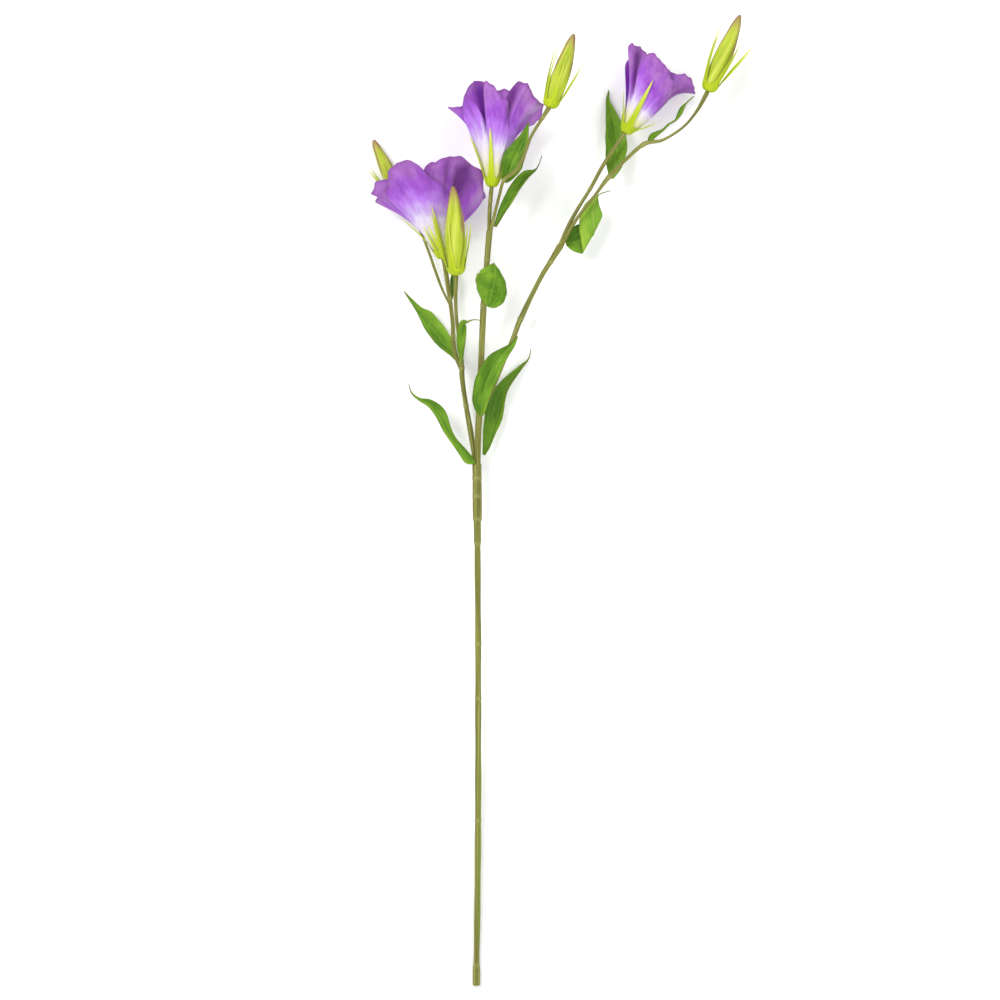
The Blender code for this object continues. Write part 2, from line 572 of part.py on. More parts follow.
def bud(name, material):
    frame, length = bud_frame(name)
    greatest = BUDS[name][2]
    foot = CALYX_FLOOR + GAP
    profile = []
    for share in (0, 0.06, 0.16, 0.3, 0.45, 0.6, 0.75, 0.88, 0.96):
        profile.append((foot + (length - foot) * share, bud_radius(share, greatest)))
    profile.append((length, 0.7))

    def furled(turn, height):
        return 1 - 0.06 * math.cos(SEPAL_COUNT * turn + BUD_TWIST * height / length)

    turned(f"bud_{name}", material, frame, profile, BUD_SIDES, furled)


def bud_calyx(name, material):
    frame, length = bud_frame(name)
    greatest, spread = BUDS[name][2:4]
    clear = CALYX_GAP + CALYX_WALL

    def radius_at(turn, height):
        share = max(0.0, height - CALYX_FLOOR) / length
        hug = bud_radius(share, greatest) * 1.06 + clear
        lean = greatest * 0.6 + clear + spread * (height / length) ** 1.6
        return min(max(hug, lean), 2.6 + 2.6 * height)

    tooth_at = teeth(0.55 * length, 2.6)
    crown(f"calyx_bud_{name}", material, frame, CALYX_WALL, CALYX_FLOOR, 5.0, tooth_at, radius_at)


def doubled_back(point):
    """Where a point of the flat leaf goes when the leaf is wrapped half a turn round the bend."""
    along = Vector((math.cos(BEND_HEADING), math.sin(BEND_HEADING), 0))
    outward = Vector((math.sin(BEND_HEADING), -math.cos(BEND_HEADING), 0))
    start = Vector(BEND_PLACE)
    height = point.z - start.z
    past = (point - start).dot(outward)
    if past < 0:
        return point
    turn = min(past / BEND_RADIUS, math.pi)
    reach = (BEND_RADIUS - height) * math.sin(turn) - (past - turn * BEND_RADIUS)
    lift = BEND_RADIUS - (BEND_RADIUS - height) * math.cos(turn)
    return start + (point - start).dot(along) * along + reach * outward + Vector((0, 0, lift))


def leaf(name, material):
    """A thin blade folded a little along its midrib."""
    doubled = name == DOUBLED_LEAF
    rows = spline(LEAVES[name], DOUBLED_STATIONS if doubled else LEAF_STATIONS)
    fold = LEAF_FOLD / 5 if doubled else LEAF_FOLD
    places = [Vector(row[:3]) for row in rows]
    rings = []
    for place, way, row in zip(places, directions(places), rows):
        roll = math.radians(row[5])
        level = way.cross(Vector((0, 0, 1))).normalized()
        upright = level.cross(way)
        across = math.cos(roll) * level + math.sin(roll) * upright
        normal = math.cos(roll) * upright - math.sin(roll) * level
        top = []
        bottom = []
        for v in LEAF_ACROSS:
            half_width = max(row[3] if v < 0 else row[4], 0.3)
            lift = abs(v) * half_width * math.sin(fold)
            middle = place + v * half_width * math.cos(fold) * across + lift * normal
            top.append(middle + normal * LEAF_THICKNESS / 2)
            bottom.append(middle - normal * LEAF_THICKNESS / 2)
        ring = top + bottom[::-1]
        rings.append([doubled_back(point) for point in ring] if doubled else ring)
    return loft(f"leaf_{name}", material, rings)


def build():
    clear_scene()
    materials = {name: make_material(name) for name in MATERIALS}
    for name in STEMS:
        stem(name, materials["stem"])
    for bloom in BLOOMS:
        bloom_calyx(bloom, materials["calyx"])
        for number in range(len(PETALS[bloom])):
            petal(bloom, number, materials["petal"])
        stamens(bloom, materials["heart"])
        pistil(bloom, materials["heart"])
    for name in BUDS:
        bud(name, materials["bud"])
        bud_calyx(name, materials["calyx"])
    for name in LEAVES:
        leaf(name, materials["leaf"])


build()
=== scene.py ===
"""The looks of a cut lisianthus stem that lies on a pale surface, seen from straight above.

The spray is laid out in its own flat frame, in millimetres: x across, y along the stem from its cut
end, z up from the surface. sheet() puts that frame on the CAD model's.
"""

import math

import bpy
import numpy as np
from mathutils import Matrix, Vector


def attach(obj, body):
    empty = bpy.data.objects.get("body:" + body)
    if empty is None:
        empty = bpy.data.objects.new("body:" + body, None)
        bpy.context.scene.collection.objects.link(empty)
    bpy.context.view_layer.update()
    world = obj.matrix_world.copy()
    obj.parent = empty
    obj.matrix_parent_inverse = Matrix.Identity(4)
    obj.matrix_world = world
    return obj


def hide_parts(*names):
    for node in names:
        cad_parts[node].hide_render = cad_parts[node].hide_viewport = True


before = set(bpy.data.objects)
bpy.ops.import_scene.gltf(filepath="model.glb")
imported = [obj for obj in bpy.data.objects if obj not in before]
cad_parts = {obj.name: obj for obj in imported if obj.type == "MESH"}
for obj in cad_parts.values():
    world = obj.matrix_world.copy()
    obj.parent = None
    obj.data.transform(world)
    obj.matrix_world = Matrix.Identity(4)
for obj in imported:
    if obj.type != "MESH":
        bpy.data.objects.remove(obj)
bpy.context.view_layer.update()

MM = 0.001
CENTRE = np.array([64.8, 398.95, 0.0])
UP = np.array([0.0, 0.0, 1.0])

# No point of a surface's middle is lower than this, so that its far face stays above the floor.
LOWEST = 0.25

# Each stem: points (x, y, z, radius) along its middle, then the places along y of its ring joints.
STEMS = {
    "main_stem": (
        [(-1, 0, 3.0, 3.0), (-1, 15.5, 3.5, 3.0), (-0.9, 17.5, 3.6, 2.55), (0, 70, 5.2, 2.6),
         (0.6, 136, 7.6, 2.6), (0.7, 200, 9.8, 2.5), (0.5, 285, 12.6, 2.5), (0.1, 362, 15.0, 2.6),
         (0.1, 366, 15.0, 3.1), (-0.1, 383, 15.6, 3.2), (-0.1, 387, 15.6, 3.7), (-0.3, 415, 16.5, 3.8),
         (-0.4, 429, 17.0, 3.9), (-0.4, 432, 17.2, 3.3)],
        (16.5, 136, 237, 282, 364.5, 384.6, 403.5, 418.5),
    ),
    "left_branch": (
        [(-1.0, 424.0, 16.4, 1.8), (-4.5, 450, 15.0, 2.2), (-9.5, 479, 15.6, 2.1), (-12.4, 500, 17.0, 2.1),
         (-12.8, 511.5, 18.0, 2.2)],
        (478, 509),
    ),
    "middle_branch": (
        [(0.6, 424.0, 17.8, 1.9), (0.6, 454, 21.4, 2.6), (1.6, 471, 23.0, 2.9), (3.0, 508, 27.0, 2.6),
         (5.2, 560, 34.0, 2.5), (8.0, 597, 39.6, 2.3), (10.0, 622, 43.2, 2.6)],
        (471, 474, 560, 597),
    ),
    "right_branch": (
        [(3.0, 472, 21.4, 1.8), (8.6, 484, 19.8, 2.0), (28.5, 531, 19.6, 2.1), (35.5, 549, 20.0, 2.1),
         (51, 581, 21.4, 2.1), (60, 596, 22.4, 2.2), (69, 610.5, 24.0, 2.8)],
        (549, 596),
    ),
    "bloom_stem_left": (
        [(-12.8, 506.5, 17.3, 1.9), (-19, 524, 17.3, 1.8), (-20.2, 545, 17.4, 1.8), (-23, 568, 17.5, 1.9),
         (-26.3, 590, 17.6, 1.8), (-28.1, 600.2, 17.8, 2.0)],
        (535, 566),
    ),
    "bloom_stem_middle": (
        [(9.5, 616.0, 42.4, 1.5), (10.2, 639, 45.6, 1.6), (11.9, 657.6, 46.4, 1.9)],
        (645,),
    ),
    "bloom_stem_right": (
        [(65.8, 605.6, 23.6, 1.5), (75.5, 627, 24.4, 1.5), (84.6, 643, 24.2, 1.5), (93, 656.5, 24.1, 1.6),
         (103.6, 675.6, 24.0, 1.5), (115.6, 694, 23.8, 1.5), (121.9, 703.0, 23.8, 1.9)],
        (656,),
    ),
    "bud_stem_far_left": (
        [(-23.0, 561, 17.0, 0.9), (-29.3, 574.6, 13.4, 1.1), (-34.3, 588, 11.0, 1.1), (-41, 607, 8.4, 1.1),
         (-50, 628, 6.6, 1.2), (-64.8, 648.4, 6.8, 1.5)],
        (),
    ),
    "bud_stem_left": (
        [(-12.4, 507.0, 17.9, 1.8), (-14.9, 532, 24.5, 1.7), (-17, 548, 28.0, 1.6), (-17.8, 565, 31.6, 1.5),
         (-17.3, 586.4, 37.6, 1.9)],
        (532,),
    ),
    "bud_stem_middle": (
        [(9.7, 615.5, 42.4, 1.4), (14.5, 635, 50.4, 1.3), (17.8, 648, 53.2, 1.3), (21.6, 661, 55.4, 1.5),
         (28, 666, 56.4, 1.4), (33.0, 671, 57.0, 1.3), (38, 681, 57.8, 1.3), (44.2, 697, 58.2, 1.3),
         (53.2, 711.6, 58.2, 1.6), (59.3, 721.4, 58.2, 2.3)],
        (661, 712),
    ),
    "bud_stem_right": (
        [(67.2, 605.0, 24.0, 1.4), (79.7, 628.3, 28.4, 1.4), (97.8, 652, 29.2, 1.4),
         (107.7, 665, 29.6, 1.9), (122.6, 680.4, 29.8, 1.4), (137.5, 692.6, 30.0, 1.8),
         (152, 695.6, 30.0, 1.3), (168.8, 706.3, 29.6, 1.2), (180.4, 720, 29.2, 1.3),
         (189.4, 736.4, 29.0, 2.0)],
        (665, 692),
    ),
}


def spline(knots, count):
    """count rows evenly along a smooth curve through knots, whose first three numbers are a place."""
    knots = np.array(knots, float)
    before = np.vstack([2 * knots[0] - knots[1], knots, 2 * knots[-1] - knots[-2]])
    pull = (before[2:] - before[:-2]) / 2
    steps = np.linspace(0, 1, 24, endpoint=False)[:, None]
    parts = []
    for a, b, out, into in zip(knots, knots[1:], pull, pull[1:]):
        t = steps
        parts.append(
            (2 * t**3 - 3 * t**2 + 1) * a + (t**3 - 2 * t**2 + t) * out
            + (3 * t**2 - 2 * t**3) * b + (t**3 - t**2) * into
        )
    dense = np.vstack(parts + [knots[-1:]])
    reach = np.concatenate([[0], np.cumsum(np.linalg.norm(np.diff(dense[:, :3], axis=0), axis=1))])
    goals = np.linspace(0, reach[-1], count)
    return np.stack([np.interp(goals, reach, column) for column in dense.T], axis=1)


def unit(vectors):
    return vectors / np.linalg.norm(vectors, axis=-1, keepdims=True)


def travel(places):
    """The level right-hand side and the upper side of a line of places, at each of them."""
    way = unit(np.gradient(places, axis=0))
    level = unit(np.cross(way, UP))
    return level, np.cross(level, way)


def frame_along(axis, foot):
    """A piece's own frame: its right, upper and axis directions and the foot it grows from."""
    right = unit(np.cross(axis, UP))
    return right, np.cross(right, axis), axis, foot


def from_frame(axes, x, y, z):
    """Where the places (x, y, z) of a piece's own frame lie in the spray."""
    right, upper, axis, foot = axes
    return foot + x[..., None] * right + y[..., None] * upper + z[..., None] * axis


def smooth(low, high, x):
    t = np.clip((x - low) / (high - low), 0, 1)
    return t * t * (3 - 2 * t)


def sheet(name, points, floats, wrap=False, capped=False):
    """A mesh over a grid of points, rows along and columns across, with a float attribute for each of
    floats and a UV map of (across, along). wrap joins the last column to the first and capped closes both
    ends."""
    rows, columns = points.shape[:2]
    above = np.concatenate([points[..., :2], np.maximum(points[..., 2:], LOWEST)], axis=-1)
    verts = ((above - CENTRE) * MM).reshape(-1, 3)
    index = np.arange(rows * columns).reshape(rows, columns)
    left, right = (index, np.roll(index, -1, axis=1)) if wrap else (index[:, :-1], index[:, 1:])
    faces = np.stack([left[:-1], left[1:], right[1:], right[:-1]], axis=-1).reshape(-1, 4)
    faces = [tuple(int(i) for i in face) for face in faces]
    if capped:
        faces.append(tuple(int(i) for i in index[0]))
        faces.append(tuple(int(i) for i in index[-1][::-1]))
    mesh = bpy.data.meshes.new(name)
    mesh.from_pydata([tuple(v) for v in verts], [], faces)
    for key, values in floats.items():
        layer = mesh.attributes.new(key, "FLOAT", "POINT")
        layer.data.foreach_set("value", np.broadcast_to(values, (rows, columns)).astype(np.float32).ravel())
    uv = mesh.uv_layers.new(name="uv")
    corner = np.zeros(len(mesh.loops), np.int32)
    mesh.loops.foreach_get("vertex_index", corner)
    across = (corner % columns) / (columns if wrap else columns - 1)
    along = (corner // columns) / (rows - 1)
    uv.data.foreach_set("uv", np.stack([across, along], axis=1).astype(np.float32).ravel())
    mesh.shade_smooth()
    piece = bpy.data.objects.new(name, mesh)
    bpy.context.scene.collection.objects.link(piece)
    return piece


def joined(name, pieces):
    """Several pieces as one object."""
    with bpy.context.temp_override(active_object=pieces[0], selected_editable_objects=pieces):
        bpy.ops.object.join()
    pieces[0].name = name
    return pieces[0]


def thicken(piece, thickness, other_side=0):
    """Gives a sheet both faces. other_side is how many slots further on the far face's material is."""
    solid = piece.modifiers.new("thickness", "SOLIDIFY")
    solid.thickness = thickness * MM
    solid.offset = 0.0
    solid.use_rim = True
    solid.material_offset = other_side
    return piece


def finished(piece, node, slot, *materials):
    for material in materials:
        piece.data.materials.append(material)
    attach(piece, "root")
    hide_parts(node)
    return piece


class Surface:
    """A node material: its Principled shader, and short ways to make the nodes that feed it."""

    def __init__(self, name, roughness, sheen=0.0):
        self.material = bpy.data.materials.new(name)
        self.material.use_nodes = True
        self.tree = self.material.node_tree
        self.shader = self.tree.nodes["Principled BSDF"]
        self.output = self.tree.nodes["Material Output"]
        self.shader.inputs["Roughness"].default_value = roughness
        self.shader.inputs["Specular IOR Level"].default_value = 0.18
        self.shader.inputs["Sheen Weight"].default_value = sheen
        self.shader.inputs["Sheen Roughness"].default_value = 0.5

    def feed(self, socket, value):
        if isinstance(value, bpy.types.NodeSocket):
            self.tree.links.new(value, socket)
        else:
            socket.default_value = value

    def attribute(self, name):
        node = self.tree.nodes.new("ShaderNodeAttribute")
        node.attribute_name = name
        return node.outputs["Fac"]

    def maths(self, operation, a, b=0.0, clamp=False):
        node = self.tree.nodes.new("ShaderNodeMath")
        node.operation = operation
        node.use_clamp = clamp
        self.feed(node.inputs[0], a)
        self.feed(node.inputs[1], b)
        return node.outputs[0]

    def place(self):
        """Places on the piece in its own metres."""
        return self.tree.nodes.new("ShaderNodeTexCoord").outputs["Object"]

    def noise(self, vector, scale, detail=2.0, roughness=0.5):
        node = self.tree.nodes.new("ShaderNodeTexNoise")
        self.feed(node.inputs["Vector"], vector)
        node.inputs["Scale"].default_value = scale
        node.inputs["Detail"].default_value = detail
        node.inputs["Roughness"].default_value = roughness
        return node.outputs["Fac"]

    def stretched_noise(self, across, along, detail=3.0, roughness=0.6):
        """Noise over the UV map, stretched by two factors, in another patch for each seed attribute."""
        uv = self.tree.nodes.new("ShaderNodeUVMap")
        uv.uv_map = "uv"
        split = self.tree.nodes.new("ShaderNodeSeparateXYZ")
        self.feed(split.inputs[0], uv.outputs[0])
        joint = self.tree.nodes.new("ShaderNodeCombineXYZ")
        self.feed(joint.inputs[0], self.maths("MULTIPLY", split.outputs[0], across))
        self.feed(joint.inputs[1], self.maths("MULTIPLY", split.outputs[1], along))
        self.feed(joint.inputs[2], self.attribute("seed"))
        return self.noise(joint.outputs[0], 1.0, detail, roughness)

    def ramp(self, value, stops):
        """The colours of stops, (position, colour) pairs, eased from one to the next."""
        node = self.tree.nodes.new("ShaderNodeValToRGB")
        band = node.color_ramp
        band.interpolation = "EASE"
        while len(band.elements) < len(stops):
            band.elements.new(0.5)
        for element, (at, colour) in zip(band.elements, stops):
            element.position = at
            element.color = (*colour, 1.0)
        self.feed(node.inputs["Fac"], value)
        return node.outputs["Color"]

    def mix(self, share, a, b, blend="MIX"):
        node = self.tree.nodes.new("ShaderNodeMix")
        node.data_type = "RGBA"
        node.blend_type = blend
        self.feed(node.inputs[0], share)
        self.feed(node.inputs[6], a if isinstance(a, bpy.types.NodeSocket) else (*a, 1.0))
        self.feed(node.inputs[7], b if isinstance(b, bpy.types.NodeSocket) else (*b, 1.0))
        return node.outputs[2]

    def touched(self, colour, amount, share, tint):
        """colour with tint laid over it, by a share of amount."""
        return self.mix(self.maths("MULTIPLY", amount, share, clamp=True), colour, tint)

    def scaled(self, value, low, high):
        """value from 0 to 1 spread over low to high."""
        return self.maths("ADD", self.maths("MULTIPLY", value, high - low), low)

    def bump(self, height, distance, strength=1.0, under=None):
        node = self.tree.nodes.new("ShaderNodeBump")
        node.inputs["Strength"].default_value = strength
        node.inputs["Distance"].default_value = distance * MM
        self.feed(node.inputs["Height"], height)
        if under is not None:
            self.feed(node.inputs["Normal"], under)
        return node.outputs[0]

    def weave(self, pitch):
        """Fine crossed threads, from 0 between them to 1 on them; pitch is in millimetres."""
        split = self.tree.nodes.new("ShaderNodeSeparateXYZ")
        self.feed(split.inputs[0], self.place())
        turn = math.tau / (pitch * MM)
        waves = [self.maths("SINE", self.maths("MULTIPLY", split.outputs[i], turn)) for i in (0, 1)]
        return self.scaled(self.maths("MULTIPLY", *waves), 0.5, 1.0)

    def finish(self, colour, normal, roughness, glow=0.0):
        """The material. glow is the share of light that comes through from behind."""
        self.feed(self.shader.inputs["Base Color"], colour)
        self.feed(self.shader.inputs["Normal"], normal)
        self.feed(self.shader.inputs["Roughness"], roughness)
        if glow:
            through = self.tree.nodes.new("ShaderNodeBsdfTranslucent")
            self.feed(through.inputs["Color"], colour)
            self.feed(through.inputs["Normal"], normal)
            both = self.tree.nodes.new("ShaderNodeMixShader")
            both.inputs[0].default_value = glow
            self.feed(both.inputs[1], self.shader.outputs[0])
            self.feed(both.inputs[2], through.outputs[0])
            self.feed(self.output.inputs["Surface"], both.outputs[0])
        return self.material


def petal_surface(name, stops, fold_shade, rim):
    """Violet fabric that fades to white and then yellow-green at the foot, streaked along its length, with
    painted shade in its folds, painted light on its pale folds and a line of rim round its edge."""
    s = Surface(name, 0.62, sheen=0.25)
    broad = s.stretched_noise(7.0, 1.6, 2.0, 0.5)
    mottle = s.stretched_noise(9.0, 7.0)
    streak = s.stretched_noise(46.0, 2.4)
    fine = s.stretched_noise(150.0, 5.0, 2.0)
    along = s.attribute("along")
    reach = s.maths("MULTIPLY", along, 1.9, clamp=True)
    shift = s.maths("ADD", s.scaled(broad, -0.17, 0.17), s.scaled(streak, -0.08, 0.08))
    colour = s.ramp(s.maths("ADD", along, s.maths("MULTIPLY", shift, reach), clamp=True), stops)
    patches = s.maths("MULTIPLY", s.scaled(mottle, -1.3, 2.3), along, clamp=True)
    colour = s.mix(patches, colour, (0.78, 0.56, 0.86), "MULTIPLY")
    fold = s.attribute("fold")
    # painted shade laid into the folds, as much as the fold attribute says
    colour = s.touched(colour, fold, 0.85, fold_shade)
    # painted light: folds whose fold value is below zero are made paler
    colour = s.touched(colour, fold, -0.6, (0.80, 0.66, 0.88))
    veins = s.scaled(s.maths("SUBTRACT", fine, 0.35, clamp=True), 0.0, 0.9)
    colour = s.mix(veins, colour, (0.80, 0.80, 0.84), "MULTIPLY")
    colour = s.touched(colour, s.attribute("edge"), 0.75, rim)
    normal = s.bump(streak, 0.5, 0.5)
    normal = s.bump(fine, 0.16, 0.5, normal)
    normal = s.bump(s.weave(0.55), 0.05, 0.6, normal)
    return s.finish(colour, normal, s.scaled(fine, 0.5, 0.78), glow=0.30)


PETAL_OUTSIDE = petal_surface(
    "petal outside",
    [(0.0, (0.70, 0.77, 0.16)), (0.10, (0.87, 0.89, 0.46)), (0.20, (0.93, 0.93, 0.82)),
     (0.38, (0.92, 0.89, 0.98)), (0.52, (0.72, 0.52, 0.93)), (0.66, (0.60, 0.27, 0.90)),
     (0.84, (0.45, 0.13, 0.71)), (1.0, (0.50, 0.22, 0.62))],
    # the painted shade colour of the folds
    (0.12, 0.012, 0.19),
    (0.28, 0.08, 0.36),
)
PETAL_INSIDE = petal_surface(
    "petal inside",
    [(0.0, (0.50, 0.60, 0.05)), (0.10, (0.75, 0.80, 0.25)), (0.20, (0.85, 0.80, 0.82)),
     (0.34, (0.68, 0.48, 0.86)), (0.50, (0.46, 0.09, 0.76)), (0.75, (0.41, 0.05, 0.68)),
     (0.92, (0.42, 0.11, 0.62)), (1.0, (0.46, 0.18, 0.60))],
    # the painted shade colour of the folds
    (0.11, 0.0, 0.26),
    (0.28, 0.08, 0.36),
)


def leaf_surface(name, blade, blotch, rib):
    """Green fabric, mottled, with painted light along one half, three pale veins and a thin brown edge."""
    s = Surface(name, 0.5, sheen=0.03)
    patches = s.stretched_noise(2.2, 3.4, 4.0)
    streak = s.stretched_noise(22.0, 2.0)
    grain = s.stretched_noise(70.0, 14.0)
    veins = s.attribute("veins")
    spread = s.maths("ADD", s.scaled(patches, -1.0, 1.5), s.scaled(streak, -0.6, 0.6))
    # painted light: one half of the blade made lighter by the bright attribute
    spread = s.maths("ADD", spread, s.scaled(s.attribute("bright"), 0.0, 0.45), clamp=True)
    colour = s.mix(spread, blade, blotch)
    colour = s.mix(s.scaled(grain, -0.2, 0.7), colour, (0.50, 0.66, 0.50), "MULTIPLY")
    colour = s.touched(colour, veins, 0.22, rib)
    colour = s.touched(colour, s.attribute("midrib"), 0.55, rib)
    colour = s.touched(colour, s.attribute("edge"), 0.6, (0.17, 0.12, 0.02))
    normal = s.bump(veins, 0.25, 0.6)
    normal = s.bump(streak, 0.35, 0.6, normal)
    normal = s.bump(grain, 0.14, 0.6, normal)
    normal = s.bump(s.weave(0.5), 0.04, 0.6, normal)
    return s.finish(colour, normal, s.scaled(grain, 0.42, 0.66), glow=0.22)


LEAF_TOP = leaf_surface("leaf upper side", (0.080, 0.21, 0.008), (0.25, 0.455, 0.028), (0.30, 0.48, 0.07))
LEAF_UNDER = leaf_surface("leaf underside", (0.17, 0.37, 0.022), (0.40, 0.61, 0.060), (0.38, 0.46, 0.11))


def stem_surface():
    """Olive skin with long streaks, a fresher green side low down, and paler ring joints."""
    s = Surface("stem", 0.45)
    streak = s.stretched_noise(14.0, 5.0, 4.0)
    fleck = s.noise(s.place(), 900.0, 3.0, 0.7)
    stops = [(0.28, (0.085, 0.085, 0.017)), (0.5, (0.185, 0.19, 0.040)), (0.72, (0.34, 0.35, 0.095))]
    colour = s.ramp(streak, stops)
    colour = s.touched(colour, s.attribute("fresh"), 0.7, (0.16, 0.30, 0.03))
    colour = s.mix(s.scaled(fleck, -0.35, 0.65), colour, (0.12, 0.10, 0.02))
    colour = s.touched(colour, s.attribute("joint"), 0.4, (0.34, 0.35, 0.12))
    normal = s.bump(streak, 0.35, 0.7)
    normal = s.bump(fleck, 0.10, 0.6, normal)
    return s.finish(colour, normal, s.scaled(fleck, 0.34, 0.62))


def green_surface(name, base, bright, dull):
    """The waxy yellow-green of cups, sepals and furled petals, ribbed along their length."""
    s = Surface(name, 0.45)
    ribs = s.stretched_noise(70.0, 2.0)
    patches = s.stretched_noise(6.0, 2.5, 2.0, 0.5)
    colour = s.mix(s.scaled(patches, -0.2, 1.2), base, bright)
    colour = s.mix(s.scaled(ribs, -0.3, 0.7), colour, dull, "MULTIPLY")
    colour = s.mix(s.attribute("pale"), colour, (0.76, 0.76, 0.16))
    colour = s.mix(s.attribute("mauve"), colour, (0.30, 0.15, 0.10))
    normal = s.bump(ribs, 0.3, 0.7)
    return s.finish(colour, normal, s.scaled(ribs, 0.36, 0.6), glow=0.12)


STEM = stem_surface()
CALYX = green_surface("calyx", (0.34, 0.47, 0.006), (0.60, 0.69, 0.022), (0.50, 0.64, 0.30))
BUD = green_surface("furled petals", (0.33, 0.44, 0.008), (0.64, 0.72, 0.075), (0.36, 0.50, 0.20))
HEART = green_surface("stamens and pistil", (0.48, 0.55, 0.06), (0.72, 0.70, 0.18), (0.7, 0.7, 0.4))
POLLEN = green_surface("pollen", (0.62, 0.42, 0.03), (0.80, 0.60, 0.08), (0.7, 0.6, 0.4))


STEM_ROW_PITCH = 1.1
STEM_COLUMNS = 20
END_ROUNDING = 2.2
CUT_END_SQUARENESS = 9
FRESH_FROM = (20, 60)
FRESH_TO = (230, 180)


def build_stem(name):
    """One stem: ring joints, a slightly uneven section and rounded ends, except at the cut end."""
    knots, joints = STEMS[name]
    is_main = name == "main_stem"
    length = sum(math.dist(a[:3], b[:3]) for a, b in zip(knots, knots[1:]))
    rows = spline(knots, int(length / STEM_ROW_PITCH) + 8)
    places, radius = rows[:, :3], rows[:, 3].copy()
    level, upper = travel(places)
    joint = np.zeros(len(rows))
    for at in joints:
        off = places[:, 1] - at
        joint = np.maximum(joint, np.exp(-((off / 1.5) ** 2)))
        radius += 0.28 * np.exp(-((off / 1.3) ** 2)) - 0.15 * np.exp(-(((off + 2.4) / 0.8) ** 2))
    turn = np.linspace(0, math.tau, STEM_COLUMNS, endpoint=False)
    seed = len(name) * 1.7 + knots[1][0]
    row = np.arange(len(rows))[:, None]
    up_stem = places[:, 1:2]
    uneven = 1 + 0.028 * np.sin(3 * turn + row * 0.021 + seed)
    uneven = uneven + 0.018 * np.sin(5 * turn - row * 0.05 + seed)
    wander = 0.12 * np.sin(up_stem * 0.11 + seed)
    sideways = np.cos(turn)[None, :, None] * level[:, None]
    outward = sideways + np.sin(turn)[None, :, None] * upper[:, None]
    far = np.concatenate([[0], np.cumsum(np.linalg.norm(np.diff(places, axis=0), axis=1))])
    from_foot = far + (CUT_END_SQUARENESS if is_main else 0)
    from_end = np.minimum(far[-1] - far, from_foot) / END_ROUNDING
    rounded = np.sqrt(np.clip(1 - np.clip(1 - from_end, 0, 0.995) ** 2, 0, 1))
    reach = (radius * rounded)[:, None] * uneven + wander * rounded[:, None]
    points = places[:, None] + reach[..., None] * outward
    fresh = smooth(*FRESH_FROM, up_stem) * smooth(*FRESH_TO, up_stem) * smooth(0.1, 0.8, np.cos(turn))[None]
    floats = {"joint": joint[:, None], "fresh": fresh if is_main else 0.0, "seed": seed}
    piece = sheet(name, points, floats, wrap=True, capped=True)
    finished(piece, name, "stem", STEM)


for stem_name in STEMS:
    build_stem(stem_name)
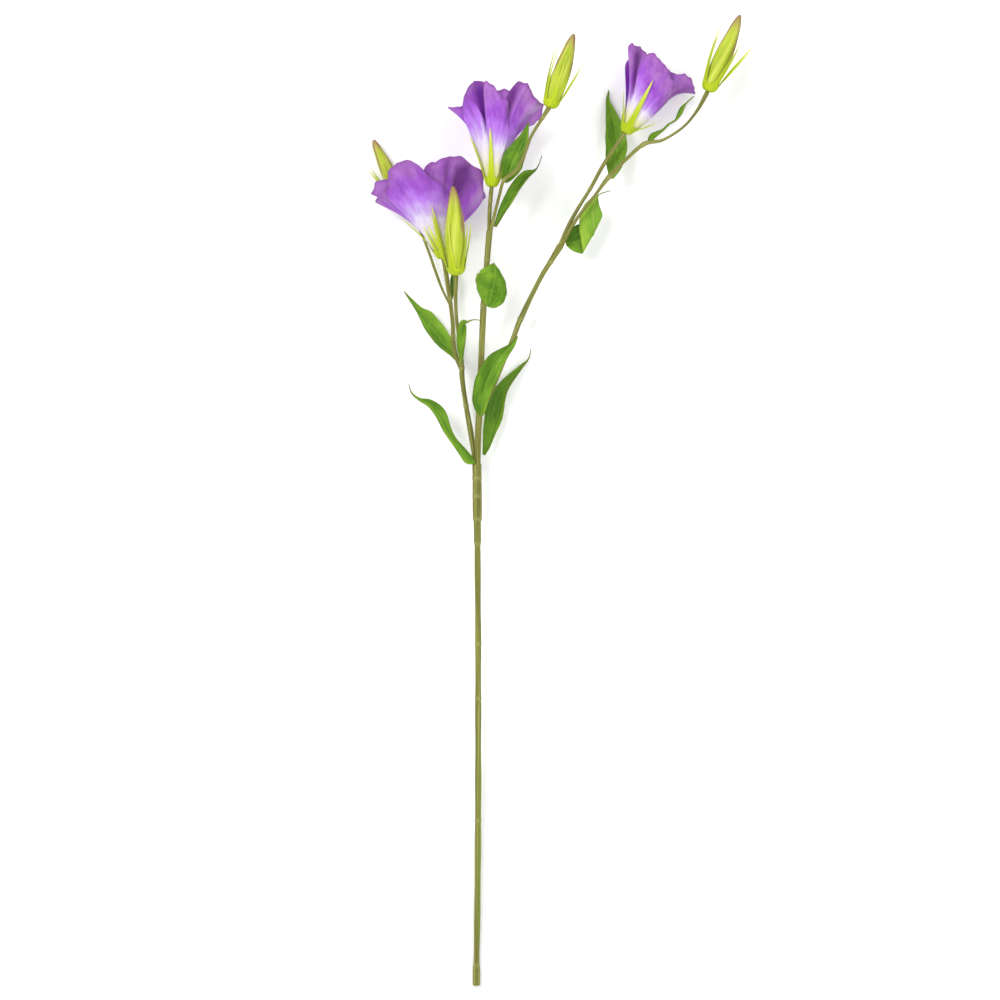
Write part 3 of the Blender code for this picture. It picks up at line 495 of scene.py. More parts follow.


# Each bloom has its own frame: x to the right as seen from above, y up towards the viewer and z along the
# axis, with the angle round the axis counted from x. foot is the axis's start, heading turns the axis from
# +y towards +x, tilt lifts it and flat squeezes the mouth from above. Each row of rim is an angle, the
# radius and height of the rim there, and how far the profile leans out at its foot and at its rim. Each
# fold is an angle, its half width, its depth, where it starts along the petal and how much painted shade
# it lays there, or how much painted light where that is below zero.
BLOOMS = {
    "left": dict(
        foot=(-28.3, 598.9, 17.6), heading=-9.5, tilt=8.5, flat=0.68,
        rim=[
            (0, 43, 43, 18, 66), (14, 46, 54, 18, 62), (30, 46, 72, 15, 46), (50, 44, 82.5, 14, 34),
            (75, 40, 84.5, 13, 28), (100, 40, 85.5, 13, 28), (118, 42, 87.5, 13, 30), (135, 43, 82, 13, 38),
            (148, 45, 74, 13, 48), (163, 47.5, 66.5, 14, 56), (175, 47.2, 60.5, 14, 60),
            (190, 50, 53.5, 14, 64), (203, 47.5, 47.5, 15, 65), (214, 43, 44.5, 15, 62),
            (240, 38, 58, 13, 42), (270, 37, 76, 13, 30), (300, 38, 76, 13, 30), (330, 41, 54, 14, 50),
        ],
        folds=[
            (38, 14, 4.5, 0.3, 1.3), (88, 15, 0.6, 0.45, 0.4), (64, 6, 1.5, 0.45, 0.7),
            (118, 7, 1.4, 0.5, 0.2), (140, 6, 1.2, 0.5, 0.2), (12, 8, -2.0, 0.4, -0.4),
        ],
    ),
    "middle": dict(
        foot=(12.0, 656.3, 46.0), heading=3.0, tilt=-3.0, flat=0.72,
        rim=[
            (0, 39.5, 65, 14, 76), (16, 39, 71, 13, 62), (30, 37.5, 78, 12, 46), (42, 36, 83, 12, 36),
            (57, 33.5, 85, 11, 28), (75, 31.5, 85.5, 11, 24), (95, 31, 86, 11, 20), (112, 31, 86.5, 11, 20),
            (135, 35, 80, 12, 34), (155, 37, 74, 12, 46), (180, 40, 61, 12, 62), (205, 38, 66, 12, 58),
            (230, 36, 84.5, 12, 36), (252, 33, 88, 12, 25), (280, 31, 84, 12, 22), (300, 31.5, 78, 12, 34),
            (315, 32, 66, 13, 56), (330, 33.5, 57, 13, 72), (345, 37, 56, 14, 82),
        ],
        folds=[
            (118, 5, 4.5, 0.35, 1.2), (148, 5, 2.0, 0.4, 0.3), (60, 8, 3.0, 0.4, 1.1),
            (30, 5, 1.6, 0.6, 0.25), (247, 15, 0.0, 0.3, 1.3), (12, 9, 0.0, 0.5, -0.7),
        ],
    ),
    "right": dict(
        foot=(121.3, 701.8, 23.8), heading=29.0, tilt=1.5, flat=0.78,
        rim=[
            (0, 33, 56, 32, 84), (16, 33, 60, 30, 72), (32, 31, 64, 26, 52), (50, 29, 66, 22, 36),
            (72, 28, 65.5, 18, 30), (95, 28, 66, 16, 28), (118, 28, 67.5, 14, 26), (135, 29, 66.5, 14, 28),
            (150, 32, 66.5, 15, 30), (165, 34, 65, 15, 34), (185, 33, 60, 15, 36), (215, 28, 62, 15, 30),
            (250, 27, 64, 16, 28), (290, 27, 64, 20, 28), (320, 28, 60, 26, 40), (342, 31, 55, 32, 68),
        ],
        folds=[
            (152, 9, 2.5, 0.2, 1.2), (112, 8, 1.0, 0.6, 0.1), (40, 8, 2.0, 0.7, 0.35),
            (85, 9, 1.0, 0.6, 0.15), (4, 14, 0.0, 0.05, 0.6),
        ],
    ),
}

# Each petal: the outline of its top edge as (angle, share of the way to the rim) from its right-hand margin
# to its left-hand one, which layer those two margins lie in, from -1 inside to 1 outside, how far each of
# them rolls, and how much further down its violet reaches on those two sides.
PETALS = {
    "left": [
        ([(48, 0.50), (66, 0.68), (88, 0.82), (106, 0.99), (122, 1.0), (140, 0.99), (150, 0.94),
          (160, 0.85), (178, 0.64)], 1, 1, 1.5, -1.5, (0.16, 0.0)),
        ([(124, 0.80), (140, 0.93), (152, 1.0), (184, 1.0), (206, 1.0), (224, 0.98), (254, 0.86)],
         -1, -1, 0.0, 1.0, (0.12, 0.12)),
        ([(228, 0.84), (262, 0.98), (282, 1.0), (304, 0.98), (336, 0.82)], 1, -1, 1.0, 1.0, (0.0, 0.0)),
        ([(300, 0.84), (330, 0.97), (350, 1.0), (372, 0.95), (398, 0.78)], 1, -1, 1.0, 1.0, (0.0, 0.0)),
        ([(0, 0.90), (18, 1.0), (42, 0.985), (52, 1.0), (72, 0.98), (92, 0.90), (114, 0.72)],
         1, -1, 2.0, 2.5, (0.2, 0.3)),
    ],
    "middle": [
        ([(46, 0.42), (54, 0.60), (62, 0.74), (76, 0.83), (90, 0.89), (97, 0.94), (103, 0.975),
          (112, 1.02)], 1, 1, 1.2, 1.5, (0.22, 0.16)),
        ([(112, 0.42), (119, 0.54), (126, 0.67), (134, 0.83), (148, 0.90), (158, 0.85), (182, 0.62)],
         0, 1, -1.0, -1.5, (0.0, 0.0)),
        ([(160, 0.88), (182, 1.0), (206, 0.93), (230, 1.0), (248, 1.0), (270, 0.88)],
         -1, -1, 0.0, 1.0, (0.12, 0.12)),
        ([(252, 0.86), (272, 0.97), (288, 1.0), (306, 0.96), (334, 0.80)], 1, -1, 1.0, 1.0, (0.1, 0.1)),
        ([(312, 0.84), (340, 0.98), (358, 1.0), (384, 0.96), (402, 1.0), (418, 0.99),
          (431, 0.86)], 1, -1, 1.5, 2.0, (0.1, 0.3)),
    ],
    "right": [
        ([(6, 0.62), (28, 0.70), (46, 0.79), (60, 0.86), (80, 0.95), (98, 1.0), (118, 1.0), (133, 0.98)],
         1, 1, 1.5, -1.0, (0.46, 0.10)),
        ([(118, 0.92), (140, 0.98), (152, 1.0), (166, 1.0), (180, 0.95), (206, 0.84)],
         -1, -1, 0.0, 1.0, (0.3, 0.3)),
        ([(184, 0.86), (206, 0.98), (226, 1.0), (248, 0.98), (276, 0.86)], 1, -1, 1.0, 1.0, (0.1, 0.1)),
        ([(252, 0.84), (280, 0.98), (300, 1.0), (320, 0.97), (346, 0.84)], 1, -1, 1.0, 1.0, (0.1, 0.1)),
        ([(314, 0.74), (336, 0.90), (350, 0.98), (366, 1.0), (386, 1.0), (406, 0.97), (426, 0.88)],
         1, -1, 1.5, 1.0, (0.4, 0.4)),
    ],
}
# The radius and height at which the petals start, how far apart their layers lie at the foot and at the
# rim, and how a petal's corners are rounded: from this share of its half width on, by this share of its
# length.
PETAL_FOOT = 4.8
PETAL_FLOOR = 3.0
LAYER_AT_FOOT = 0.12
LAYER_GROWTH = 2.4
CORNER_FROM = 0.72
CORNER_DROP = 0.24
PETAL_THICKNESS = 0.28
PETAL_ROWS, PETAL_COLUMNS = 46, 72


def bloom_axes(bloom):
    heading, tilt = math.radians(bloom["heading"]), math.radians(bloom["tilt"])
    level = math.cos(tilt)
    axis = np.array([math.sin(heading) * level, math.cos(heading) * level, math.sin(tilt)])
    return frame_along(axis, np.array(bloom["foot"], float))


def round_table(rows, angles):
    """The columns of rows after the first, read smoothly round the circle at angles in degrees."""
    rows = np.array(rows, float)
    known, values = rows[:, 0], rows[:, 1:]
    known = np.concatenate([known - 360, known, known + 360])
    values = np.concatenate([values] * 3)
    return along_table(known, values, np.mod(angles, 360))


def along_table(known, values, wanted):
    """Values known at some places, read smoothly at the wanted ones without overshooting much."""
    slope = np.gradient(values, known, axis=0)
    i = np.clip(np.searchsorted(known, wanted, side="right") - 1, 0, len(known) - 2)
    gap = known[i + 1] - known[i]
    t = np.clip((wanted - known[i]) / gap, 0, 1)
    if values.ndim > 1:
        t, gap = t[..., None], gap[..., None]
    return (
        (2 * t**3 - 3 * t**2 + 1) * values[i] + (t**3 - 2 * t**2 + t) * gap * slope[i]
        + (3 * t**2 - 2 * t**3) * values[i + 1] + (t**3 - t**2) * gap * slope[i + 1]
    )


def funnel(bloom, angles, s):
    """Places on the bloom's funnel in its own frame, s from 0 at the foot to 1 at the rim, with the painted
    shade that the folds lay on each one, or the painted light where that is below zero."""
    table = round_table(bloom["rim"], angles)
    radius, height = table[..., 0], table[..., 1]
    lean, rim_lean = np.radians(table[..., 2]), np.radians(table[..., 3])
    low, high = 0.45 * height, 0.38 * height
    inner = (PETAL_FOOT + low * np.sin(lean), PETAL_FLOOR + low * np.cos(lean))
    outer = (radius - high * np.sin(rim_lean), height - high * np.cos(rim_lean))
    a, b, c, d = (1 - s) ** 3, 3 * s * (1 - s) ** 2, 3 * s * s * (1 - s), s**3
    out = a * PETAL_FOOT + b * inner[0] + c * outer[0] + d * radius
    lift = a * PETAL_FLOOR + b * inner[1] + c * outer[1] + d * height
    turn = np.radians(angles)
    hollow = np.zeros_like(s)
    shade = np.zeros_like(s)
    for at, width, depth, start, painted_darkness in bloom["folds"]:
        off = (np.mod(angles - at + 180, 360) - 180) / width
        share = np.exp(-(off**2)) * smooth(start, start + 0.4, s) * (1 - 0.5 * smooth(0.85, 1, s))
        hollow = hollow + depth * share
        # painted shade in the folds, and painted light where the fold's number is below zero
        shade = shade + painted_darkness * share
    bent = bloom["foot"][0]
    ruffle = 1.5 * s**3 * np.sin(8 * turn + bent) + 0.9 * s**7 * np.sin(19 * turn + 2 * bent)
    ruffle = ruffle + 0.22 * s**2 * np.sin(23 * turn - bent + 3 * s)
    out = out + (ruffle - hollow) * np.minimum(1, out / 14)
    lift = lift + 0.5 * s**4 * np.sin(13 * turn + bent)
    squeeze = 1 + (bloom["flat"] - 1) * s
    return np.stack([out * np.cos(turn), out * np.sin(turn) * squeeze, lift], axis=-1), shade


def build_petal(name, number):
    """One petal: a patch of the bloom's funnel in its own layer, with rolled margins and a frilled rim."""
    bloom = BLOOMS[name]
    outline, layer_right, layer_left, roll_right, roll_left, tint = PETALS[name][number]
    outline = np.array(outline, float)
    u = np.linspace(0, 1, PETAL_ROWS)[:, None]
    v = np.linspace(-1, 1, PETAL_COLUMNS)[None, :]
    from_right, from_left = (1 - v) / 2, (1 + v) / 2
    angles = outline[0, 0] + (outline[-1, 0] - outline[0, 0]) * from_left
    top = along_table(outline[:, 0], outline[:, 1], angles)
    seed = number * 2.3 + len(name)
    turn = np.radians(angles)
    top = top * (1 + 0.009 * np.sin(turn * 17 + seed) + 0.003 * np.sin(turn * 31 + seed))
    top = top * (1 - CORNER_DROP * np.clip((np.abs(v) - CORNER_FROM) / (1 - CORNER_FROM), 0, 1) ** 3)
    s = u * top
    angles = angles + 0 * s
    points, shade = funnel(bloom, angles, s)
    step = 0.002
    by_turn = funnel(bloom, angles + step * 100, s)[0] - points
    by_rise = funnel(bloom, angles, s + step)[0] - points
    normal = unit(np.cross(by_turn, by_rise))
    layer = (from_right * layer_right + from_left * layer_left) * (LAYER_AT_FOOT + LAYER_GROWTH * s)
    layer = layer + roll_right * np.clip((-v - 0.8) / 0.2, 0, 1) ** 2 * s**2
    layer = layer - roll_left * np.clip((v - 0.8) / 0.2, 0, 1) ** 2 * s**2
    frill = np.sin(turn * 17 + seed) + 0.6 * np.sin(turn * 27 + 2 * seed)
    layer = layer + (0.45 * u**8 + 0.12 * u**3) * frill - 0.9 * u**14
    points = points + normal * layer[..., None]
    points = from_frame(bloom_axes(bloom), points[..., 0], points[..., 1], points[..., 2])
    further = (from_right * tint[0] + from_left * tint[1]) * smooth(0.12, 0.45, s)
    floats = {
        "along": s + further * (1 - 0.7 * smooth(0.6, 1.0, s)),
        "edge": np.maximum(smooth(0.955, 1.0, u), smooth(0.96, 1.0, np.abs(v)) * smooth(0.2, 0.5, s)),
        # fold holds the folds' painted shade, and painted light where it is below zero
        "fold": np.clip(shade, -1, 1),
        "seed": seed,
    }
    piece = sheet(f"petal_{name}_{number + 1}", points, floats)
    thicken(piece, PETAL_THICKNESS, other_side=1)
    finished(piece, f"petal_{name}_{number + 1}", "petal", PETAL_OUTSIDE, PETAL_INSIDE)


for bloom_name in BLOOMS:
    for petal_number in range(5):
        build_petal(bloom_name, petal_number)


# Where the columns of a sepal's half lie, from its side at 1 to its needle-like middle at 0.
SEPAL_SPREAD = np.array([1, 0.8, 0.62, 0.46, 0.34, 0.25, 0.18, 0.13, 0.09, 0.06, 0.036, 0.016, 0])
CUP_ROWS = 40
CUP_THICKNESS = 0.28


def crown(axes, low, stem_radius, wall, sepals):
    """A green cup round a stem that rises into five needle-like sepals, as grids for sheet(). wall(angles,
    heights) is the radius it hugs. Each sepal is an angle, its height, how far out its tip leans and its
    sideways drift in degrees."""
    share = np.concatenate([-SEPAL_SPREAD, SEPAL_SPREAD[-2::-1]])
    columns = []
    for k, (at, height, lean, drift) in enumerate(sepals):
        before = (at - sepals[k - 1][0]) % 360 / 2
        after = (sepals[(k + 1) % 5][0] - at) % 360 / 2
        angles = at + np.where(share < 0, share * before, share * after)
        rise = np.clip(1 - np.abs(share) ** 1.3, 0, 1) ** 5
        tops = low * 1.1 + (height - low * 1.1) * rise
        columns.append(np.stack([angles, tops, lean * rise, drift * rise, np.abs(share)])[:, :-1])
    angles, tops, leans, drifts, shares = np.concatenate(columns, axis=1)
    heights = tops * np.linspace(0, 1, CUP_ROWS)[:, None]
    rounding = np.sqrt(np.clip(1 - (1 - np.clip(heights / low, 0, 1)) ** 2, 0, 1))
    hug = wall(angles + 0 * heights, np.maximum(heights, low * 0.6))
    radius = stem_radius + (hug - stem_radius) * rounding
    rise = np.clip((heights - low) / np.maximum(tops.max() - low, 1), 0, 1)
    own = np.clip((heights - low) / np.maximum(tops - low, 1), 0, 1)
    keel = np.exp(-((shares / 0.07) ** 2))
    radius = radius + leans * own**1.7 + 0.4 * keel * smooth(0.2, 1, own) * (1 - own) + 0.35 * own
    radius = radius + 0.22 * np.cos(np.radians(angles) * 17) * rounding * (1 - rise) ** 6
    turn = np.radians(angles + drifts * own**1.5)
    points = from_frame(axes, radius * np.cos(turn), radius * np.sin(turn), heights)
    pale = np.clip(0.55 * keel * smooth(0.1, 0.5, own) + 0.35 * smooth(0.7, 1.0, own), 0, 1)
    return points, {"pale": pale, "mauve": 0.0, "seed": axes[3][0]}


def build_calyx(node, *crown_parts):
    points, floats = crown(*crown_parts)
    piece = sheet(node, points, floats, wrap=True)
    thicken(piece, CUP_THICKNESS)
    finished(piece, node, "calyx", CALYX)


BLOOM_SEPALS = {
    "left": [(20, 30, 1.5, 0), (92, 47, 1, 4), (126, 30, 3, 6), (184, 38, 1.5, 0), (270, 36, 1, 0)],
    "middle": [(20, 30, 1.2, 0), (100, 47, 0.8, 3), (170, 41, 1.5, 0), (235, 34, 1, 0), (305, 34, 1, 0)],
    "right": [(8, 19, 5, 0), (92, 48, 1, 0), (150, 20, 1.5, 0), (184, 30, 1.5, 0), (275, 34, 1, 0)],
}
BLOOM_CUP_HEIGHT = 6.5
BLOOM_STEM_RADIUS = 1.9
# The space between a bloom's petals and its cup, and how much it widens with each millimetre up.
CUP_GAP = 0.75
CUP_SPREAD = 0.04


def bloom_wall(bloom):
    """The radius that a bloom's cup hugs: the petals' funnel and a little more."""
    def wall(angles, heights):
        s = np.linspace(0, 0.75, 90)[:, None]
        flat_angles = angles.reshape(-1)
        places, _ = funnel(bloom, flat_angles[None, :] + 0 * s, s + 0 * flat_angles[None, :])
        reach = np.hypot(places[..., 0], places[..., 1])
        result = [np.interp(h, places[:, i, 2], reach[:, i]) for i, h in enumerate(heights.reshape(-1))]
        return np.array(result).reshape(heights.shape) + CUP_GAP + heights * CUP_SPREAD
    return wall


for bloom_name, bloom_shape in BLOOMS.items():
    build_calyx(f"calyx_{bloom_name}", bloom_axes(bloom_shape), BLOOM_CUP_HEIGHT, BLOOM_STEM_RADIUS,
                bloom_wall(bloom_shape), BLOOM_SEPALS[bloom_name])

# Each bud: its foot, its tip, its greatest radius, the turn of its folds, then its five sepals.
BUDS = {
    "far_left": ((-64.6, 647.8, 6.9), (-85.8, 697.0, 6.4), 6.0, 20,
                 [(20, 30, 2, 0), (95, 34, 2, 0), (165, 34, 6, 0), (200, 33, 9, 0), (290, 28, 2, 0)]),
    "left": ((-17.3, 585.0, 37.4), (-19.6, 655.6, 60.0), 8.6, 60,
             [(8, 44, 6, 0), (40, 47, 5, -10), (112, 48, 0.5, 12), (168, 54, 12, 0), (200, 40, 15, 0)]),
    "middle": ((58.9, 720.2, 58.2), (78.5, 779.9, 58.6), 7.6, 15,
               [(10, 41, 8, 0), (84, 46, 0.3, 4), (150, 53, 3, 10), (190, 51, 5, 0), (290, 40, 3, 0)]),
    "right": ((189.0, 735.8, 29.0), (215.4, 797.7, 31.0), 7.6, 0,
              [(5, 47, 13, 0), (40, 47, 6, 0), (160, 52, 5, 0), (192, 52, 6, 0), (280, 40, 3, 0)]),
}
BUD_ROWS, BUD_COLUMNS = 60, 110
# The furled petals start this far above a bud's foot.
BUD_START = 2.0


def bud_radius(share, greatest):
    """The furled petals' radius at a share of their length: widest below the middle, with a blunt tip."""
    body = 0.82 + 0.18 * np.sin(math.pi * np.clip(share * 1.5, 0, 1) / 2)
    return greatest * body * (1 - np.clip(share, 0, 1) ** 3.6) + 1.2 * smooth(0.7, 0.97, share)


def build_bud(name):
    """One bud: five petals furled round each other into a spindle, and its cup."""
    foot, tip, greatest, turn_of_folds, sepals = BUDS[name]
    length = math.dist(foot, tip)
    axes = frame_along(unit(np.array(tip) - np.array(foot)), np.array(foot, float))
    t = np.linspace(0, 1, BUD_ROWS)[:, None]
    turn = np.linspace(0, math.tau, BUD_COLUMNS, endpoint=False)[None, :]
    phase = np.mod(5 * turn / math.tau + 0.9 * t + turn_of_folds / 72, 1)
    step = smooth(0.0, 0.10, phase) * (1 - smooth(0.93, 1.0, phase))
    radius = bud_radius(t, greatest)
    crowned = step * np.sin(math.pi * phase) * smooth(0, 0.4, t)
    radius = radius * (0.94 + 0.09 * phase * step + 0.05 * crowned)
    radius = radius + 0.12 * np.sin(turn * 34 + 3 * t) * np.sin(math.pi * np.clip(t, 0, 1)) ** 0.5
    radius = radius * smooth(-0.04, 0.01, t) * (1 - smooth(0.985, 1.02, t) * 0.9)
    height = BUD_START + (length - BUD_START) * t
    height = height + 0.8 * smooth(0.9, 1, t) * np.sin(3 * turn + turn_of_folds)
    bend = 0.5 * np.sin(math.pi * t)
    points = from_frame(axes, radius * np.cos(turn) + bend, radius * np.sin(turn), height)
    flank = smooth(0.3, 0.8, np.abs(np.cos(turn)))
    mauve = 0.95 * smooth(0.35, 0.9, phase) * smooth(0.34, 0.60, t) * flank + 0.75 * smooth(0.74, 1.0, t)
    pale = 0.4 * smooth(0.3, 0.6, phase) * (1 - smooth(0.6, 0.8, phase)) + 0.3 * smooth(0.75, 0.95, t)
    floats = {"pale": np.clip(pale, 0, 1), "mauve": np.clip(mauve, 0, 1), "seed": float(foot[0])}
    piece = sheet(f"bud_{name}", points, floats, wrap=True, capped=True)
    finished(piece, f"bud_{name}", "bud", BUD)

    def wall(angles, heights):
        share = np.clip((heights - BUD_START) / (length - BUD_START), 0, 1)
        return np.maximum(bud_radius(share, greatest) * 1.03 + 0.12, greatest * 0.84 + 0.2)

    build_calyx(f"calyx_bud_{name}", axes, greatest * 0.75, greatest * 0.3, wall, sepals)


for bud_name in BUDS:
    build_bud(bud_name)

# Each leaf: points along its midrib as (x, y, z, width to its left, width to its right, roll in degrees).
LEAVES = {
    "main_node_left": [
        (-1.6, 431, 21.5, 1.2, 1.2, 8), (-6.4, 434, 22.5, 4.6, 3.6, 10), (-11.6, 439.8, 23.0, 3.8, 3.6, 14),
        (-19.4, 449, 22.6, 2.8, 3.8, 18), (-26, 459, 21.0, 2.9, 5.4, 18),
        (-32.2, 470.4, 18.8, 2.5, 7.8, 16), (-40, 478.8, 16.4, 1.8, 5.4, 14),
        (-47.5, 483, 14.4, 1.3, 1.7, 10), (-54, 488.3, 13.0, 0.7, 0.8, 8),
        (-56.8, 496.2, 12.4, 0.3, 0.3, 8),
    ],
    "main_node_right": [
        (5.4, 437.5, 11.5, 1.4, 1.0, 0), (7.9, 444.2, 10.6, 4.0, 2.4, -4), (12.2, 457.7, 9.4, 8.4, 3.9, -6),
        (16, 467.6, 8.6, 12.0, 4.5, -8), (18.3, 476, 7.8, 12.6, 3.8, -8), (20.4, 484.5, 7.2, 11.6, 2.8, -8),
        (23.6, 492.8, 6.2, 7.8, 2.5, -8), (29.3, 501.9, 5.0, 4.4, 2.4, -8),
        (35.9, 509.7, 3.8, 2.2, 1.4, -8), (42.1, 516.7, 3.0, 0.7, 0.6, -8),
        (44.2, 525.0, 2.4, 0.3, 0.3, -8),
    ],
    "middle_node_front": [
        (2.9, 469.6, 28.2, 1.6, 1.6, 0), (3.4, 473.6, 28.8, 5.6, 3.4, -2), (4.4, 482, 30.4, 9.0, 5.0, -4),
        (6.8, 493, 32.8, 10.6, 6.4, -6), (10.4, 504, 34.6, 10.2, 7.6, -8), (15.6, 514, 35.6, 8.6, 6.8, -10),
        (22, 521.4, 35.6, 4.8, 4.8, -12), (28, 527.4, 34.8, 2.0, 3.0, -12),
        (33.0, 534.4, 33.4, 0.6, 0.6, -12),
    ],
    "left_node_outer": [
        (-17.8, 516.6, 13.6, 1.4, 1.4, 6), (-20.8, 521.4, 13.0, 2.6, 4.6, 6),
        (-28, 529.6, 11.8, 4.9, 8.6, 6), (-36.2, 540.6, 9.8, 5.7, 9.0, 5), (-43.4, 551, 7.8, 4.5, 7.2, 4),
        (-48.5, 557.7, 6.6, 2.7, 3.0, 4), (-55.7, 566.4, 4.8, 1.3, 1.2, 3),
        (-60.7, 572.6, 3.6, 0.4, 0.4, 3),
    ],
    "left_node_front": [
        (-12.9, 513.4, 25.8, 0.8, 0.8, 4), (-13.5, 523.6, 29.4, 3.1, 3.1, 6),
        (-13.4, 533.6, 32.4, 3.8, 4.4, 6), (-12.6, 542, 35.0, 3.3, 4.1, 4),
        (-11.3, 545.8, 36.4, 2.4, 3.0, 0), (-7.8, 546.4, 37.0, 0.9, 0.9, 0), (-3.2, 548, 37.4, 0.5, 0.5, 0),
        (2.4, 547.6, 37.4, 0.3, 0.3, 0),
    ],
    "middle_stem_front": [
        (7.6, 559.6, 39.4, 2.2, 2.0, 0), (9.6, 562.6, 40.6, 6.4, 9.0, 0), (11.4, 568, 42.4, 11.4, 12.4, 0),
        (13.1, 575, 45.0, 14.6, 12.0, 0), (14.4, 581.4, 47.4, 16.0, 9.0, 0),
        (14.9, 586.6, 49.0, 15.2, 4.6, 0), (14.4, 589.6, 49.8, 13.8, 2.6, 0),
        (14.0, 591.6, 50.3, 12.4, 1.4, 0), (13.6, 593.0, 50.6, 10.4, 0.8, 0),
        (13.2, 594.0, 50.8, 6.4, 0.6, 0),
    ],
    "middle_fork_right": [
        (14.6, 624, 40.4, 1.2, 1.2, 10), (20, 635.5, 38.4, 3.4, 3.0, 14), (27, 648, 36.4, 4.8, 4.0, 16),
        (34, 659, 34.0, 5.4, 3.8, 16), (41, 666.4, 31.8, 4.4, 2.4, 14), (47.4, 671.0, 30.0, 1.0, 0.9, 12),
        (50.4, 675.6, 29.0, 0.4, 0.4, 12), (53, 683, 28.0, 0.3, 0.3, 12),
    ],
    "middle_bud_stem": [
        (21.9, 659.9, 51.2, 2.2, 2.0, 0), (23.9, 663.8, 51.3, 4.6, 5.2, 0),
        (26.9, 670.8, 51.5, 8.0, 8.6, 2), (29.9, 678.6, 51.8, 9.2, 9.2, 3),
        (34.1, 686.6, 52.2, 7.9, 7.2, 4), (38.2, 696, 52.7, 4.4, 4.0, 5), (41.9, 708.4, 53.4, 0.5, 0.5, 6),
    ],
    "right_bud_node_back": [
        (110, 664.6, 21.4, 2.0, 2.0, 0), (112.6, 676, 17.6, 7.2, 7.2, 4), (114.6, 690.5, 13.8, 9.2, 9.2, 6),
        (113.4, 704, 10.2, 8.2, 8.2, 4), (110.4, 718, 7.0, 4.8, 4.8, 0), (107.6, 729.5, 4.6, 1.8, 1.8, 0),
        (108.4, 738.6, 3.2, 0.4, 0.4, 0),
    ],
    "right_fork_folded": [
        (72.8, 611.1, 18.6, 1.4, 1.4, 0), (77.6, 612.0, 18.6, 8.4, 7.6, 0),
        (84.5, 613.8, 18.4, 13.0, 11.6, 0), (92, 616.0, 18.4, 12.4, 12.4, 0),
        (101, 619.8, 18.4, 10.4, 12.2, 0), (109.7, 624.4, 18.4, 8.4, 11.2, 0),
        (116.6, 629, 18.4, 6.0, 8.0, 0), (121.0, 633.8, 18.4, 3.0, 3.8, 0),
        (122.8, 637.6, 18.4, 0.8, 0.8, 0), (122.6, 641.6, 18.4, 0.5, 0.5, 0),
        (120.4, 648.6, 18.4, 0.35, 0.35, 0),
    ],
    "right_bud_stem_small": [
        (140.7, 693.7, 27.6, 0.9, 0.9, 0), (142.1, 696.3, 27.4, 2.2, 2.2, 10),
        (144.3, 699.0, 27.0, 3.0, 2.8, 20), (147.6, 701.2, 26.8, 2.2, 2.2, 20),
        (152.4, 704.1, 26.6, 1.2, 1.2, 30), (157.1, 708.6, 26.6, 1.1, 1.1, 40),
        (162.7, 712.1, 26.8, 1.1, 1.1, 30), (166.2, 717.4, 27.0, 2.1, 2.1, 20),
        (168.4, 721.8, 27.0, 1.9, 1.9, 20), (171.3, 725.9, 27.0, 0.8, 0.8, 20),
        (177.8, 731.9, 27.0, 0.4, 0.4, 20),
    ],
    "left_bloom_stem_back": [
        (-20.6, 566.0, 13.8, 0.9, 0.9, 40), (-20.2, 573, 12.6, 2.6, 2.6, 50),
        (-19.8, 581, 12.0, 3.0, 3.0, 55), (-20, 588, 12.0, 1.8, 1.8, 50), (-21.4, 593, 12.4, 0.4, 0.4, 40),
    ],
}

# Every leaf has painted light along one half: these along the left one, the others along the right one.
PAINTED_LIGHT_ON_LEFT = ("main_node_left", "left_node_front", "middle_stem_front")

# One leaf is doubled back over itself: a place on the line it bends along, that line's heading from +x
# and the radius of the bend.
DOUBLED_LEAF = "right_fork_folded"
BEND_PLACE = np.array([85.4, 605.1, 18.4])
BEND_HEADING = math.radians(61.4)
BEND_RADIUS = 2.4


def doubled_back(points):
    """Where points of the flat leaf go when it is wrapped half a turn round the bend."""
    along = np.array([math.cos(BEND_HEADING), math.sin(BEND_HEADING), 0])
    outward = np.array([math.sin(BEND_HEADING), -math.cos(BEND_HEADING), 0])
    rest = points - BEND_PLACE
    height, past = rest[..., 2], rest @ outward
    turn = np.clip(past / BEND_RADIUS, 0, math.pi)
    reach = (BEND_RADIUS - height) * np.sin(turn) - np.maximum(past - turn * BEND_RADIUS, 0)
    reach = np.where(past < 0, past, reach)
    lift = np.where(past < 0, height, BEND_RADIUS - (BEND_RADIUS - height) * np.cos(turn))
    return from_frame((along, outward, UP, BEND_PLACE), rest @ along, reach, lift)


LEAF_ROWS, LEAF_COLUMNS = 56, 29
LEAF_THICKNESS = 0.32
LEAF_EDGE = 0.7
LEAF_FOLD = math.radians(16)
DOUBLED_LEAF_FOLD = math.radians(3)


